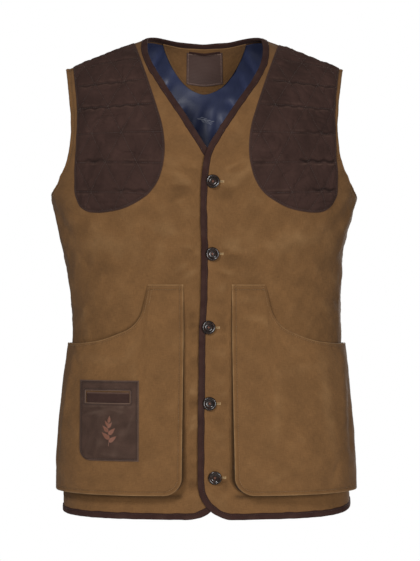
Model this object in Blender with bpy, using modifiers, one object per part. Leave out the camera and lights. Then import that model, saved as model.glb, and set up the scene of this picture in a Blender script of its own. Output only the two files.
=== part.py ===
"""A sleeveless shooting gilet as it is worn: hollow, buttoned, open at neck, armholes and hem.

Metres, +Z up, the front faces -Y, and +X is the wearer's left. The origin is midway between
the two shoulder seams, at the height of their middles, where the wearer carries it.
Each piece of cloth is a thin closed wall between two sheets of points. The sheets come from
one form of the worn garment, so that every piece follows the one that it lies on.
"""

import math

import bmesh
import bpy
import numpy as np
from mathutils import Vector
from mathutils.geometry import delaunay_2d_cdt

# Cloth
CANVAS = 0.0015
TRIM = 0.0010
SEAM = 0.0003

# Shoulders, neck and hem
NECK_X = 0.0865
NECK_Z = 0.024
SHOULDER_SLOPE = 0.38
SHOULDER_RISE = 0.165
SHOULDER_REACH = 0.225
TOP_HALF_WIDTH = 0.222
NECK_DIP = 0.372
NECK_ROUND = 1.43
HEM_Z = -0.688
HEM_RISE_RIGHT = 0.003
HEM_RISE_LEFT = 0.012

# The trunk's section is a squared ellipse. How it leans over from the chest to the shoulder
# seam is a curve: the share of the depth that is left, and the share of the rise.
SQUARENESS = 2.4
FRONT_LEAN = ((1.0, 0.00), (1.0, 0.35), (0.35, 0.98), (0.0, 1.0))
BACK_LEAN = ((1.0, 0.00), (1.0, 0.50), (0.65, 1.00), (0.0, 1.0))

# Columns: height, half width on the wearer's right and left, depth of the front and the back
SECTIONS = np.array([
    (-0.690, 0.2120, 0.2190, 0.120, 0.112),
    (-0.600, 0.2105, 0.2150, 0.121, 0.112),
    (-0.500, 0.2040, 0.2090, 0.119, 0.107),
    (-0.410, 0.1985, 0.2050, 0.116, 0.101),
    (-0.345, 0.2035, 0.2055, 0.117, 0.101),
    (-0.290, 0.2145, 0.2100, 0.120, 0.105),
    (-0.240, 0.2255, 0.2230, 0.124, 0.111),
    (-0.215, 0.2315, 0.2300, 0.126, 0.114),
    (-0.190, 0.2330, 0.2320, 0.127, 0.116),
    (-0.100, 0.2330, 0.2320, 0.127, 0.118),
])

# Finished neck and front edges from the front. Columns: height, x
OVER_EDGE = np.array([
    (-0.690, -0.0096), (-0.580, -0.0098), (-0.480, -0.0086), (-0.420, -0.0080), (-0.370, -0.0056),
    (-0.300, -0.0046), (-0.210, -0.0053), (-0.185, -0.0036), (-0.165, -0.0008), (-0.149, 0.0043),
    (-0.122, 0.0204), (-0.098, 0.0353), (-0.0726, 0.0524), (-0.0466, 0.0697), (-0.0195, 0.0830),
    (0.005, 0.0872), (0.024, 0.0850),
])
UNDER_EDGE = np.array([
    (-0.690, 0.0300), (-0.300, 0.0300), (-0.215, 0.0300), (-0.192, 0.0272), (-0.170, 0.0175),
    (-0.146, 0.0025), (-0.122, -0.0126), (-0.098, -0.0277), (-0.0727, -0.0446), (-0.0469, -0.0607),
    (-0.0199, -0.0765), (0.005, -0.0848), (0.024, -0.0850),
])

# Edge of the armhole, from the side seam up to the tip of the shoulder.
# Columns: degrees round from the middle, height. The last height is the shoulder seam's.
FRONT_ARMHOLE = np.array([
    (90.0, -0.2180), (82.0, -0.2135), (73.0, -0.2055), (64.5, -0.1865), (58.5, -0.1630),
    (56.5, -0.1290), (57.5, -0.1010), (60.0, -0.0710), (63.5, -0.0450), (68.5, -0.0230),
])
BACK_ARMHOLE = np.array([
    (90.0, -0.2180), (82.0, -0.2140), (73.0, -0.2065), (65.5, -0.1880), (61.0, -0.1630),
    (59.0, -0.1290), (60.0, -0.1010), (62.0, -0.0710), (65.0, -0.0450), (68.5, -0.0230),
])

# The front on the wearer's left lies over the other one
OVERLAP_LIFT = 0.0047
LIFT_FULL_X = 0.037
LIFT_END_X = 0.085
LIFT_FULL_Z = -0.135
LIFT_END_Z = -0.060

# Large soft folds. Columns: degrees round (minus on the wearer's right), height, tilt of the
# fold's line from level in degrees, half length, half width, height
FRONT_FOLDS = (
    (62, -0.262, 38, 0.070, 0.016, -0.0035),
    (50, -0.300, 30, 0.060, 0.015, 0.0025),
    (-66, -0.268, -40, 0.070, 0.016, -0.0035),
    (-52, -0.300, -28, 0.055, 0.015, 0.0025),
    (24, -0.235, 62, 0.050, 0.014, 0.0020),
    (-24, -0.250, -58, 0.055, 0.014, 0.0020),
)
BACK_FOLDS = (
    (58, -0.270, 35, 0.075, 0.018, -0.0040),
    (-56, -0.280, -38, 0.075, 0.018, -0.0040),
    (14, -0.400, 5, 0.090, 0.016, 0.0030),
    (-22, -0.435, -8, 0.080, 0.016, -0.0030),
    (40, -0.455, 14, 0.060, 0.015, 0.0025),
)

# Binding: folded tape over the neck, front and hem edges
BINDING_WIDTH = 0.0085
BINDING_OVER = TRIM + SEAM

# Grids
HEM_CORNER = 0.052
EDGE_STEPS = (0.0, BINDING_WIDTH, 0.022, 0.037, HEM_CORNER)
SIDE_COLUMNS = 9
LOW_ROWS = 13
ARM_ROWS = 10
FRONT_TURN_Z = -0.210
BACK_NECK_COLUMNS = 5
BACK_SIDE_COLUMNS = 7
BACK_LOW_ROWS = 14
BACK_ARM_ROWS = 9

# Recoil patch. Columns: distance round the chest, height up the cloth from the chest line
PATCH_EDGE = (
    (0.1205, 0.2175), (0.1150, 0.1950),
    (0.1068, 0.1680), (0.0958, 0.1340), (0.0862, 0.1050), (0.0759, 0.0738), (0.0686, 0.0510),
    (0.0645, 0.0300), (0.0635, 0.0120), (0.0679, -0.0155), (0.0762, -0.0343), (0.0890, -0.0497),
    (0.1076, -0.0620), (0.1290, -0.0720), (0.1550, -0.0785), (0.1765, -0.0810), (0.1960, -0.0787),
    (0.2070, -0.0710), (0.2112, -0.0580), (0.2116, -0.0300), (0.2105, 0.0000), (0.2110, 0.0300),
    (0.2125, 0.0660), (0.2165, 0.0970), (0.2235, 0.1318), (0.2295, 0.1580),
    (0.2350, 0.1822),
)
PATCH_TOP_PARTS = 9
PATCH_SHIFT = 0.004
PATCH_WALL = 0.0012
PATCH_LIFT = 0.0006
PATCH_LIFT_SHOULDER = 0.0009
QUILT_SIDE = 0.050
QUILT_PARTS = 4
QUILT_PHASE = (0.1065, 0.0803)
QUILT_PUFF = 0.0022

# Bellows pockets. Columns: degrees round, height of the top edge
POCKET_TOP = np.array([
    (7.0, -0.3464), (20.8, -0.3464), (21.8, -0.3660), (23.2, -0.3850), (25.8, -0.4010),
    (29.0, -0.4105), (34.0, -0.4180), (43.0, -0.4275), (54.0, -0.4322), (84.0, -0.4335),
])
POCKET_COLUMNS = (20.8, 21.8, 23.2, 25.8, 29.0, 34.0, 43.0, 54.0, 65.0, 75.0, 84.0)
POCKET_SHIFT = 1.2
POCKET_BOTTOM = -0.651
POCKET_CORNER = 0.026
POCKET_ROWS = 9
# How far the pocket's outside stands off the front.
# Columns: share of the height, at the inner edge, in the middle beyond the edges, at the side
POCKET_STAND = np.array([
    (0.00, 0.0180, 0.0100, 0.0110),
    (0.12, 0.0175, 0.0120, 0.0115),
    (0.35, 0.0115, 0.0115, 0.0110),
    (0.60, 0.0065, 0.0110, 0.0080),
    (0.75, 0.0046, 0.0095, 0.0055),
    (0.92, 0.0043, 0.0006, 0.0044),
    (1.00, 0.0019, 0.0000, 0.0019),
])
GUSSET_WALL = 0.0012
GUSSET_FLANGE = 0.0055
GUSSET_FLAT = 0.0043
GUSSET_GAP = 0.0010
GUSSET_TOP = 0.93

# Small patch pocket with a slot, on the pocket of the wearer's right front.
# Front view. Columns lie across, rows up
SMALL_X = (-0.1810, -0.1715, -0.1545, -0.1390, -0.1230, -0.1072, -0.0945)
SMALL_Z = (-0.6015, -0.5840, -0.5650, -0.5410, -0.5180, -0.5010, -0.4855)
SLOT_COLUMNS = (1, 5)
SLOT_ROW = 4
SMALL_CORNER = 0.016
SMALL_PUFF = 0.0022
SMALL_LIFT = 0.0006
WELT_GROW = 0.0035

# Buttons. Columns: x, height
BUTTONS = ((0.0127, -0.1975), (0.0119, -0.3021), (0.0064, -0.4090), (0.0077, -0.5190), (0.0156, -0.6260))
# Columns: radius, height over the cloth, from the middle of the face round to the back
BUTTON_PROFILE = (
    (0.0, 0.0032), (0.0044, 0.0032), (0.0064, 0.0045), (0.0090, 0.0045), (0.0100, 0.0033),
    (0.0093, 0.0023), (0.0055, 0.0005), (0.0, 0.0005),
)
BUTTON_STEPS = 16
BUTTON_HOLE = 0.0009
BUTTON_HOLE_OUT = 0.0019

# Inside the back of the neck
FACING_HALF = 0.064
FACING_DROP = 0.084
FACING_ROUND = 1.15
FACING_SLACK = 0.0013
LABEL_SLACK = 0.0006
LABEL_SIZE = (0.057, 0.056)
LABEL_DROP = 0.0135
LOOP_SIZE = (0.050, 0.0045)
LOOP_DROP = 0.0100
LOOP_BOW = 0.0025

# sRGB
CANVAS_TAN = "7A5A3A"
SUEDE = "3E2C29"
LEATHER = "4A362F"
BINDING_BROWN = "38221F"
SATIN_NAVY = "2F3A63"
LABEL_BROWN = "4E3A35"
BUTTON_BLACK = "241D1B"


def smooth(knots, values, at):
    """A soft curve through a table's rows."""
    slopes = np.gradient(values, knots)
    at = np.clip(at, knots[0], knots[-1])
    i = np.clip(np.searchsorted(knots, at) - 1, 0, len(knots) - 2)
    gap = knots[i + 1] - knots[i]
    t = (at - knots[i]) / gap
    start = (1 + 2 * t) * (1 - t) ** 2 * values[i] + t * (1 - t) ** 2 * gap * slopes[i]
    end = t * t * (3 - 2 * t) * values[i + 1] + t * t * (t - 1) * gap * slopes[i + 1]
    return start + end


def bezier(points, t):
    """The two coordinates of a cubic curve."""
    weights = np.stack([(1 - t) ** 3, 3 * t * (1 - t) ** 2, 3 * t * t * (1 - t), t ** 3], -1)
    both = weights @ np.array(points)
    return both[..., 0], both[..., 1]


def fade(value, start, end):
    """1 before start, 0 after end, and a soft slope between."""
    t = np.clip((value - start) / (end - start), 0, 1)
    return 1 - t * t * (3 - 2 * t)


def power(value, exponent):
    return np.sign(value) * np.abs(value) ** exponent


def levels(a):
    """Heights of the hem and of the chest line, at an angle round the trunk."""
    share = np.abs(np.sin(a)) ** (2 / SQUARENESS)
    chest = NECK_Z - SHOULDER_SLOPE * (SHOULDER_REACH * share - NECK_X) - SHOULDER_RISE
    rise = np.where(a > 0, HEM_RISE_LEFT, HEM_RISE_RIGHT)
    return HEM_Z + rise * (np.abs(a) / (math.pi / 2)) ** 4, chest


def half_width(a, z, t):
    side = np.where(a > 0, smooth(SECTIONS[:, 0], SECTIONS[:, 2], z), smooth(SECTIONS[:, 0], SECTIONS[:, 1], z))
    return side + (TOP_HALF_WIDTH - side) * t


def lean(face):
    return FRONT_LEAN if face < 0 else BACK_LEAN


def form(face, a, v):
    """Points of the plain form. a is the angle round from the middle, plus to the wearer's
    left. v is 0 at the hem, 1 at the chest line and 2 at the shoulder seam."""
    a, v = np.broadcast_arrays(np.asarray(a, float), np.asarray(v, float))
    hem, chest = levels(a)
    t = np.clip(v - 1, 0, 1)
    z = hem + (chest - hem) * np.minimum(v, 1)
    depth = smooth(SECTIONS[:, 0], SECTIONS[:, 3 if face < 0 else 4], z)
    back, up = bezier(lean(face), t)
    x = half_width(a, z, t) * power(np.sin(a), 2 / SQUARENESS)
    y = face * depth * power(np.cos(a), 2 / SQUARENESS) * back
    return np.stack([x, y, z + SHOULDER_RISE * up], -1)


def spot(face, x, z):
    """The a and v of the place that shows at x, z from the front or the back."""
    x, z = np.broadcast_arrays(np.asarray(x, float), np.asarray(z, float))
    t_table = np.linspace(0, 1, 400)
    up_table = bezier(lean(face), t_table)[1]
    width = np.full(x.shape, TOP_HALF_WIDTH)
    for _ in range(30):
        a = np.arcsin(np.clip(np.abs(x) / width, 0, 1) ** (SQUARENESS / 2)) * np.sign(x)
        hem, chest = levels(a)
        t = np.interp((z - chest) / SHOULDER_RISE, up_table, t_table)
        v = np.where(z < chest, (z - hem) / (chest - hem), 1 + t)
        width = half_width(a, np.minimum(z, chest), t)
    return a, v


def folds(table, a, z):
    """Height of the soft folds, each a ridge or a trough that fades at its ends."""
    height = np.zeros(np.shape(z))
    for degrees, middle, tilt, half_length, half_wide, rise in table:
        across = (a - math.radians(degrees)) * TOP_HALF_WIDTH * 0.85
        up = z - middle
        turn = math.radians(tilt)
        along = across * math.cos(turn) + up * math.sin(turn)
        off = -across * math.sin(turn) + up * math.cos(turn)
        height = height + rise * np.exp(-(along / half_length) ** 2 - (off / half_wide) ** 2)
    return height


def unit(vectors):
    return vectors / np.maximum(np.linalg.norm(vectors, axis=-1, keepdims=True), 1e-12)


def facing_out(face, points_at, a, v):
    step = 1e-4
    across = points_at(a + step, v) - points_at(a - step, v)
    up = points_at(a, v + step) - points_at(a, v - step)
    return unit(np.cross(across, up)) * -face


def worn(piece, a, v):
    """Points of the outside of a front or the back, with its folds."""
    face = 1 if piece == "back" else -1
    plain = form(face, a, v)
    out = facing_out(face, lambda p, q: form(face, p, q), a, v)
    rise = folds(BACK_FOLDS if face > 0 else FRONT_FOLDS, a, plain[..., 2])
    points = plain + out * rise[..., None]
    if piece == "over":
        lifted = fade(plain[..., 0], LIFT_FULL_X, LIFT_END_X) * fade(plain[..., 2], LIFT_FULL_Z, LIFT_END_Z)
        points[..., 1] -= OVERLAP_LIFT * lifted
    return points


def cloth(piece, a, v):
    """Points and normals of the outside. The normals lie in the seams along the seams."""
    a, v = np.broadcast_arrays(np.asarray(a, float), np.asarray(v, float))
    face = 1 if piece == "back" else -1
    points = worn(piece, a, v)
    normals = facing_out(face, lambda p, q: worn(piece, p, q), a, v)
    at_seam = (np.abs(a) > math.pi / 2 - 1e-6) | (v > 2 - 1e-6)
    normals[..., 1] = np.where(at_seam, 0.0, normals[..., 1])
    normals = unit(normals)
    points[..., 1] = np.where(at_seam, face * SEAM / 2, points[..., 1])
    return points, normals


def lengths(points):
    return np.concatenate([[0], np.cumsum(np.linalg.norm(np.diff(points, axis=0), axis=1))])


def placed(line_a, line_v, face, wanted):
    """The a and v at these distances along a line drawn on the form."""
    run = lengths(form(face, line_a, line_v))
    return np.interp(wanted, run, line_a), np.interp(wanted, run, line_v), run[-1]


def round_corner(across, up, radius):
    """Bends a square corner's grid into a round one whose rings stay parallel to its edge."""
    level = min(across, up)
    reach = radius - level
    if max(across, up) >= radius or reach <= 0:
        return across, up
    swing = math.pi / 4 * (1 - (max(across, up) - level) / reach)
    far = radius - reach * math.sin(swing)
    near = radius - reach * math.cos(swing)
    return (far, near) if across >= up else (near, far)


def spread(curve, count, face):
    """Points evenly spaced along a curve of (a, v) rows."""
    knots = np.arange(len(curve), dtype=float)
    fine = np.linspace(0, len(curve) - 1, 40 * len(curve))
    line_a = smooth(knots, curve[:, 0], fine)
    line_v = smooth(knots, curve[:, 1], fine)
    run = lengths(form(face, line_a, line_v))
    a, v, _ = placed(line_a, line_v, face, np.linspace(0, run[-1], count + 1))
    return np.stack([a, v], -1)


def armhole(table, side, face):
    """The armhole's edge as rows of a and v."""
    a = np.radians(table[:, 0])
    t_table = np.linspace(0, 1, 400)
    up_table = bezier(lean(face), t_table)[1]
    hem, chest = levels(side * a)
    rise = np.interp((table[:, 1] - chest) / SHOULDER_RISE, up_table, t_table)
    v = np.where(table[:, 1] < chest, (table[:, 1] - hem) / (chest - hem), 1 + rise)
    v[-1] = 2
    return np.stack([side * a, v], -1)


def edge_x(piece, z):
    """The cut edge of a front: the finished one less what the binding adds."""
    table = OVER_EDGE if piece == "over" else UNDER_EDGE
    side = 1 if piece == "over" else -1
    return smooth(table[:, 0], table[:, 1], z) + side * BINDING_OVER * 1.1


def front_grid(piece):
    """The a and v of a front's points: rows from hem to shoulder, columns from the front edge."""
    side = 1 if piece == "over" else -1
    hem_z = HEM_Z + BINDING_OVER
    outer_z = np.linspace(hem_z + HEM_CORNER, FRONT_ARMHOLE[0, 1], LOW_ROWS + 1)[1:]
    inner_z = np.linspace(hem_z + HEM_CORNER, FRONT_TURN_Z, LOW_ROWS + 1)[1:]
    heights = [hem_z + step for step in EDGE_STEPS]
    inner = [(edge_x(piece, z), z) for z in heights + list(inner_z)]
    seam_hem, seam_chest = levels(side * math.pi / 2)
    outer_heights = [seam_hem + BINDING_OVER + step for step in EDGE_STEPS] + list(outer_z)
    outer = [(side * math.pi / 2, (z - seam_hem) / (seam_chest - seam_hem)) for z in outer_heights]
    neck_z = np.linspace(FRONT_TURN_Z, NECK_Z, 60)
    neck = np.stack(spot(-1, edge_x(piece, neck_z), neck_z), -1)
    neck[-1, 1] = 2
    neck_points = spread(neck, ARM_ROWS, -1)[1:]
    arm_points = spread(armhole(FRONT_ARMHOLE, side, -1), ARM_ROWS, -1)[1:]
    starts = np.concatenate([np.array([spot(-1, x, z) for x, z in inner]), neck_points])
    ends = np.concatenate([np.array(outer), arm_points])
    edge = cloth(piece, starts[:, 0], starts[:, 1])[0]
    tangents = unit(np.gradient(edge, axis=0))
    rows = []
    columns = len(EDGE_STEPS) + SIDE_COLUMNS
    for j, (start, end) in enumerate(zip(starts, ends)):
        fine = np.linspace(0, 1, 200)
        line = start + (end - start) * fine[:, None]
        run = lengths(form(-1, line[:, 0], line[:, 1]))
        heading = unit(form(-1, line[4, 0], line[4, 1]) - form(-1, line[0, 0], line[0, 1]))
        first = BINDING_WIDTH / math.sqrt(max(1 - float(heading @ tangents[j]) ** 2, 0.3))
        steady = list(EDGE_STEPS) + list(np.linspace(HEM_CORNER, run[-1], SIDE_COLUMNS + 1)[1:])
        even = [0.0] + list(np.linspace(first, run[-1], columns - 1))
        share = max(0, j - len(EDGE_STEPS) - LOW_ROWS + 1) / ARM_ROWS
        wanted = (1 - share) * np.array(steady) + share * np.array(even)
        wanted[1] = first
        rows.append(np.stack(placed(line[:, 0], line[:, 1], -1, wanted)[:2], -1))
    grid = np.array(rows)
    for j, up in enumerate(EDGE_STEPS):
        for i, across in enumerate(EDGE_STEPS):
            out, high = round_corner(across, up, HEM_CORNER)
            z = hem_z + high
            grid[j, i] = np.array(spot(-1, edge_x(piece, z) + side * out, z))
    return grid[..., 0], grid[..., 1]


def neck_top(a):
    """v of the back's top edge: the shoulder seam, and the neck's curve below it."""
    neck_a = float(spot(1, NECK_X, NECK_Z)[0])
    share = np.clip(np.abs(a) / neck_a, 0, 1)
    return 2 - NECK_DIP * (1 - share ** NECK_ROUND)


def up_by(face, a, v, distance):
    """v after a step of this length up the cloth, or down where it is minus."""
    step = 1e-3
    rate = np.linalg.norm(form(face, a, v) - form(face, a, v - step), axis=-1) / step
    return v + distance / rate


def back_grid():
    """The a and v of the back's points: rows from hem to top, columns from right to left."""
    neck_a = math.asin((NECK_X / TOP_HALF_WIDTH) ** (SQUARENESS / 2))
    strip_a = math.asin(((NECK_X + BINDING_WIDTH * 1.05) / TOP_HALF_WIDTH) ** (SQUARENESS / 2))
    halves = []
    for side in (-1, 1):
        low = np.linspace(HEM_Z + BINDING_OVER + BINDING_WIDTH, BACK_ARMHOLE[0, 1], BACK_LOW_ROWS)
        heights = np.concatenate([[HEM_Z + BINDING_OVER], low])
        seam_hem, seam_chest = levels(side * math.pi / 2)
        lift = (heights - HEM_Z) / (BACK_ARMHOLE[0, 1] - HEM_Z)
        outer_z = heights + (seam_hem - HEM_Z) * (1 - lift)
        outer = [(side * math.pi / 2, (z - seam_hem) / (seam_chest - seam_hem)) for z in outer_z]
        ends = np.concatenate([np.array(outer), spread(armhole(BACK_ARMHOLE, side, 1), BACK_ARM_ROWS, 1)[1:]])
        middle_hem, middle_chest = levels(0.0)
        middle = (heights - middle_hem) / (middle_chest - middle_hem)
        rise = np.linspace(middle[-1], 2, BACK_ARM_ROWS + 1)[1:]
        starts = np.concatenate([middle, rise])
        inner = list(np.linspace(0, neck_a, BACK_NECK_COLUMNS + 1)) + [strip_a]
        rows = []
        for j, (start, end) in enumerate(zip(starts, ends)):
            outward = np.linspace(strip_a, abs(end[0]), BACK_SIDE_COLUMNS + 1)[1:]
            a = side * np.array(inner + list(outward))
            share = np.abs(a) / abs(end[0])
            v = start + (end[1] - start) * share
            high = max(0, j - len(heights) + 1) / BACK_ARM_ROWS
            v = v - high ** 2 * (2 - neck_top(a))
            rows.append(np.stack([a, v], -1))
        below = rows[-1].copy()
        below[:, 1] = up_by(1, below[:, 0], below[:, 1] - 1e-3, -BINDING_WIDTH)
        rows.insert(len(rows) - 1, below)
        halves.append(np.array(rows))
    right = halves[0][:, ::-1]
    grid = np.concatenate([right[:, :-1], halves[1]], axis=1)
    return grid[..., 0], grid[..., 1]


def grid_faces(rows, columns, gaps=(), turned=()):
    """Triangles of a grid of points, without the cells at these (row, column) places. The
    cells of the turned columns are cut along their other diagonal."""
    faces = []
    for j in range(rows - 1):
        for i in range(columns - 1):
            if (j, i) in gaps:
                continue
            a = j * columns + i
            b = a + columns
            if i in turned:
                faces += [(a, a + 1, b), (a + 1, b + 1, b)]
            else:
                faces += [(a, a + 1, b + 1), (a, b + 1, b)]
    return faces


def wall(name, outer, inner, faces, colour, roughness, metallic=0.0):
    """A closed wall between two sheets of points that share their faces. Points that
    coincide are joined."""
    outer = np.asarray(outer, float).reshape(-1, 3)
    inner = np.asarray(inner, float).reshape(-1, 3)
    both = np.round(np.concatenate([outer, inner], axis=1) / 1e-7)
    _, first, index = np.unique(both, axis=0, return_index=True, return_inverse=True)
    outer, inner = outer[first], inner[first]
    faces = [tuple(int(index.reshape(-1)[k]) for k in face) for face in faces]
    faces = [face for face in faces if len(set(face)) == 3]
    corners = outer[np.array(faces)]
    out = np.cross(corners[:, 1] - corners[:, 0], corners[:, 2] - corners[:, 0])
    if (out * (outer - inner)[np.array(faces)[:, 0]]).sum() < 0:
        faces = [face[::-1] for face in faces]
    count = len(outer)
    edges = {(face[k], face[(k + 1) % 3]) for face in faces for k in range(3)}
    triangles = faces + [tuple(count + k for k in face[::-1]) for face in faces]
    for start, end in sorted(edges):
        if (end, start) not in edges:
            triangles.append((end, start, count + start))
            triangles.append((end, count + start, count + end))
    mesh = bpy.data.meshes.new(name)
    mesh.from_pydata(np.concatenate([outer, inner]).tolist(), [], triangles)
    return finish(name, mesh, colour, roughness, metallic)


def finish(name, mesh, colour, roughness, metallic=0.0):
    """Makes the mesh an object of the garment, with its own material."""
    mesh.shade_smooth()
    mesh.set_sharp_from_angle(angle=math.radians(40))
    part = bpy.data.objects.new(name, mesh)
    bpy.data.collections["gilet"].objects.link(part)
    material = bpy.data.materials.new(name)
    material.use_nodes = True
    shader = material.node_tree.nodes["Principled BSDF"]
    levels_srgb = [int(colour[k:k + 2], 16) / 255 for k in (0, 2, 4)]
    linear = [c / 12.92 if c <= 0.04045 else ((c + 0.055) / 1.055) ** 2.4 for c in levels_srgb]
    shader.inputs["Base Color"].default_value = (*linear, 1.0)
    shader.inputs["Roughness"].default_value = roughness
    shader.inputs["Metallic"].default_value = metallic
    mesh.materials.append(material)
    return part


def layered(name, piece, a, v, low, high, faces, colour, roughness):
    """A wall that follows a panel, between two distances from its outside."""
    points, normals = cloth(piece, a, v)
    low = np.broadcast_to(low, points.shape[:-1])[..., None]
    high = np.broadcast_to(high, points.shape[:-1])[..., None]
    outer = points + normals * high
    inner = points + normals * low
    if piece == "back" and np.mean(high) < 0:
        outer, inner = inner, outer
    return wall(name, outer, inner, faces, colour, roughness)


def panel(name, piece, a, v):
    return layered(name, piece, a, v, -CANVAS, 0.0, grid_faces(*a.shape), CANVAS_TAN, 0.85)


def binding(name, piece, edge, inner):
    """A tape folded over an edge. edge and inner are (a, v) rows of the edge's points and of
    the points a tape's width in from them."""
    edge_points, edge_normals = cloth(piece, edge[:, 0], edge[:, 1])
    in_points, in_normals = cloth(piece, inner[:, 0], inner[:, 1])
    out = edge_points - in_points
    out = unit(out - edge_normals * (out * edge_normals).sum(-1, keepdims=True))

    def at(across, high):
        if across > SEAM:
            return in_points + in_normals * high
        return edge_points + edge_normals * high - out * across

    under = -CANVAS - SEAM
    outside = [
        (BINDING_WIDTH, BINDING_OVER), (0.0, BINDING_OVER), (-BINDING_OVER, 0.0002),
        (-BINDING_OVER, -CANVAS - 0.0002), (0.0, under - TRIM), (BINDING_WIDTH, under - TRIM),
    ]
    inside = [
        (BINDING_WIDTH, SEAM), (-SEAM / 2, SEAM), (-SEAM, 0.0),
        (-SEAM, -CANVAS), (-SEAM / 2, under), (BINDING_WIDTH, under),
    ]
    outer = np.stack([at(*place) for place in outside], axis=1)
    inner_wall = np.stack([at(*place) for place in inside], axis=1)
    faces = grid_faces(len(edge), len(outside), turned=(len(outside) - 2,))
    return wall(name, outer, inner_wall, faces, BINDING_BROWN, 0.8)


def front_binding(name, piece, a, v):
    """Round the hem from the side seam, up the front edge and the neck to the shoulder."""
    grid = np.stack([a, v], -1)
    last = a.shape[1] - 1
    edge = [grid[0, i] for i in range(last, -1, -1)] + [grid[j, 0] for j in range(1, a.shape[0])]
    inner = [grid[1, max(i, 1)] for i in range(last, -1, -1)]
    inner += [grid[max(j, 1), 1] for j in range(1, a.shape[0])]
    return binding(name, piece, np.array(edge), np.array(inner))


def back_bindings(a, v):
    grid = np.stack([a, v], -1)
    middle = a.shape[1] // 2
    neck = range(middle - BACK_NECK_COLUMNS, middle + BACK_NECK_COLUMNS + 1)
    edge = [grid[-1, neck[0]]] + [grid[-1, i] for i in neck] + [grid[-1, neck[-1]]]
    inner = [grid[-1, neck[0] - 1]] + [grid[-2, i] for i in neck] + [grid[-1, neck[-1] + 1]]
    binding("binding_neck_back", "back", np.array(edge), np.array(inner))
    binding("binding_hem_back", "back", grid[0], grid[1])


def chest_tables():
    """Distance round the chest against a, and up the cloth against v."""
    a = np.linspace(0, math.pi / 2, 800)
    v = np.linspace(0.4, 2, 2000)
    up = lengths(form(-1, math.radians(35), v))
    return a, lengths(form(-1, a, 1.1)), v, up - np.interp(1.0, v, up)


def from_chest(side, across, up):
    """The a and v of a place given by distances on the cloth from the chest's middle."""
    a_table, across_table, v_table, up_table = chest_tables()
    a = np.interp(np.asarray(across) + side * PATCH_SHIFT, across_table, a_table)
    drop = levels(a)[1] - levels(math.radians(35))[1]
    return side * a, np.interp(np.asarray(up) - drop, up_table, v_table)


def closed_curve(rows, count):
    """Points evenly spread along a soft line through the rows."""
    rows = np.array(rows)
    knots = lengths(rows)
    at = np.linspace(0, knots[-1], count)
    return np.stack([smooth(knots, rows[:, 0], at), smooth(knots, rows[:, 1], at)], -1)


def filled(outline, inside):
    """Triangles of a flat piece with this outline and these points inside it."""
    count = len(outline)
    points = [Vector(p) for p in outline] + [Vector(p) for p in inside]
    loop = list(range(count))
    made, _, faces, _, _, _ = delaunay_2d_cdt(points, [], [loop], 1, 1e-7)
    triangles = [tuple(face[:3]) for face in faces]
    return np.array([(p.x, p.y) for p in made]), triangles


def inside_of(outline, points, margin):
    """Those of the points that lie within the outline and at least a margin from it."""
    kept = []
    following = np.roll(outline, -1, axis=0)
    for p in points:
        span = following - outline
        share = np.clip(((p - outline) * span).sum(1) / (span ** 2).sum(1), 0, 1)
        near = np.linalg.norm(outline + span * share[:, None] - p, axis=1).min()
        crossing = (outline[:, 1] > p[1]) != (following[:, 1] > p[1])
        with np.errstate(divide="ignore", invalid="ignore"):
            x = outline[:, 0] + (p[1] - outline[:, 1]) * span[:, 0] / span[:, 1]
        if near > margin and (crossing & (x > p[0])).sum() % 2:
            kept.append(p)
    return np.array(kept)


def quilt_height(points):
    """The puff between the sewn lines of an even triangle pattern, 0 on the lines."""
    tall = QUILT_SIDE * math.sqrt(3) / 2
    x = points[:, 0] - QUILT_PHASE[0]
    y = points[:, 1] - QUILT_PHASE[1]
    nearest = np.full(len(points), np.inf)
    for turn in (0, 60, 120):
        off = -x * math.sin(math.radians(turn)) + y * math.cos(math.radians(turn))
        off = np.abs((off / tall + 0.5) % 1 - 0.5) * tall
        nearest = np.minimum(nearest, off)
    return QUILT_PUFF * np.clip(nearest / (tall / 4), 0, 1)


def recoil_patch(name, side):
    """A quilted suede patch from the shoulder seam down over the chest."""
    piece = "over" if side > 0 else "under"
    ends = np.linspace(PATCH_EDGE[-1][0], PATCH_EDGE[0][0], PATCH_TOP_PARTS + 1)[1:-1]
    outline = np.concatenate([closed_curve(PATCH_EDGE, 50), np.stack([ends, np.full_like(ends, 1)], -1)])
    a_table, across_table, _, up_table = chest_tables()
    turn = np.interp(outline[:, 0] + side * PATCH_SHIFT, across_table, a_table)
    seam = up_table[-1] + levels(turn)[1] - levels(math.radians(35))[1]
    outline[:, 1] = np.minimum(outline[:, 1], seam - 0.0012)
    step = QUILT_SIDE / QUILT_PARTS
    lattice = []
    for row in range(-24, 24):
        for column in range(-24, 24):
            x = QUILT_PHASE[0] + step * (column + row / 2)
            lattice.append((x, QUILT_PHASE[1] + step * math.sqrt(3) / 2 * row))
    flat, faces = filled(outline, inside_of(outline, np.array(lattice), 0.0045))
    a, v = from_chest(side, flat[:, 0], flat[:, 1])
    border = np.arange(len(flat)) < len(outline)
    puff = np.where(border, 0.0, quilt_height(flat))
    low = PATCH_LIFT + PATCH_LIFT_SHOULDER * (1 - fade(v, 1.35, 1.75))
    layered(name, piece, a, v, low, low + PATCH_WALL + puff, faces, SUEDE, 0.9)


def pocket_turn(side, degrees):
    """a of a place on a pocket, whose inner edges lean towards the wearer's left."""
    return side * np.radians(degrees + side * POCKET_SHIFT * (1 - degrees / POCKET_TOP[-1, 0]))


def stand_off(share_across, z):
    """How far the outside of a pocket stands off the front."""
    high = np.clip((z - POCKET_BOTTOM) / (POCKET_TOP[0, 1] - POCKET_BOTTOM), 0, 1)
    inner, middle, outer = (smooth(POCKET_STAND[:, 0], POCKET_STAND[:, k], high) for k in (1, 2, 3))
    mix = fade(share_across, 0, 1)
    return inner * mix + outer * (1 - mix) + middle * np.sin(math.pi * np.clip(share_across, 0, 1))


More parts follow.
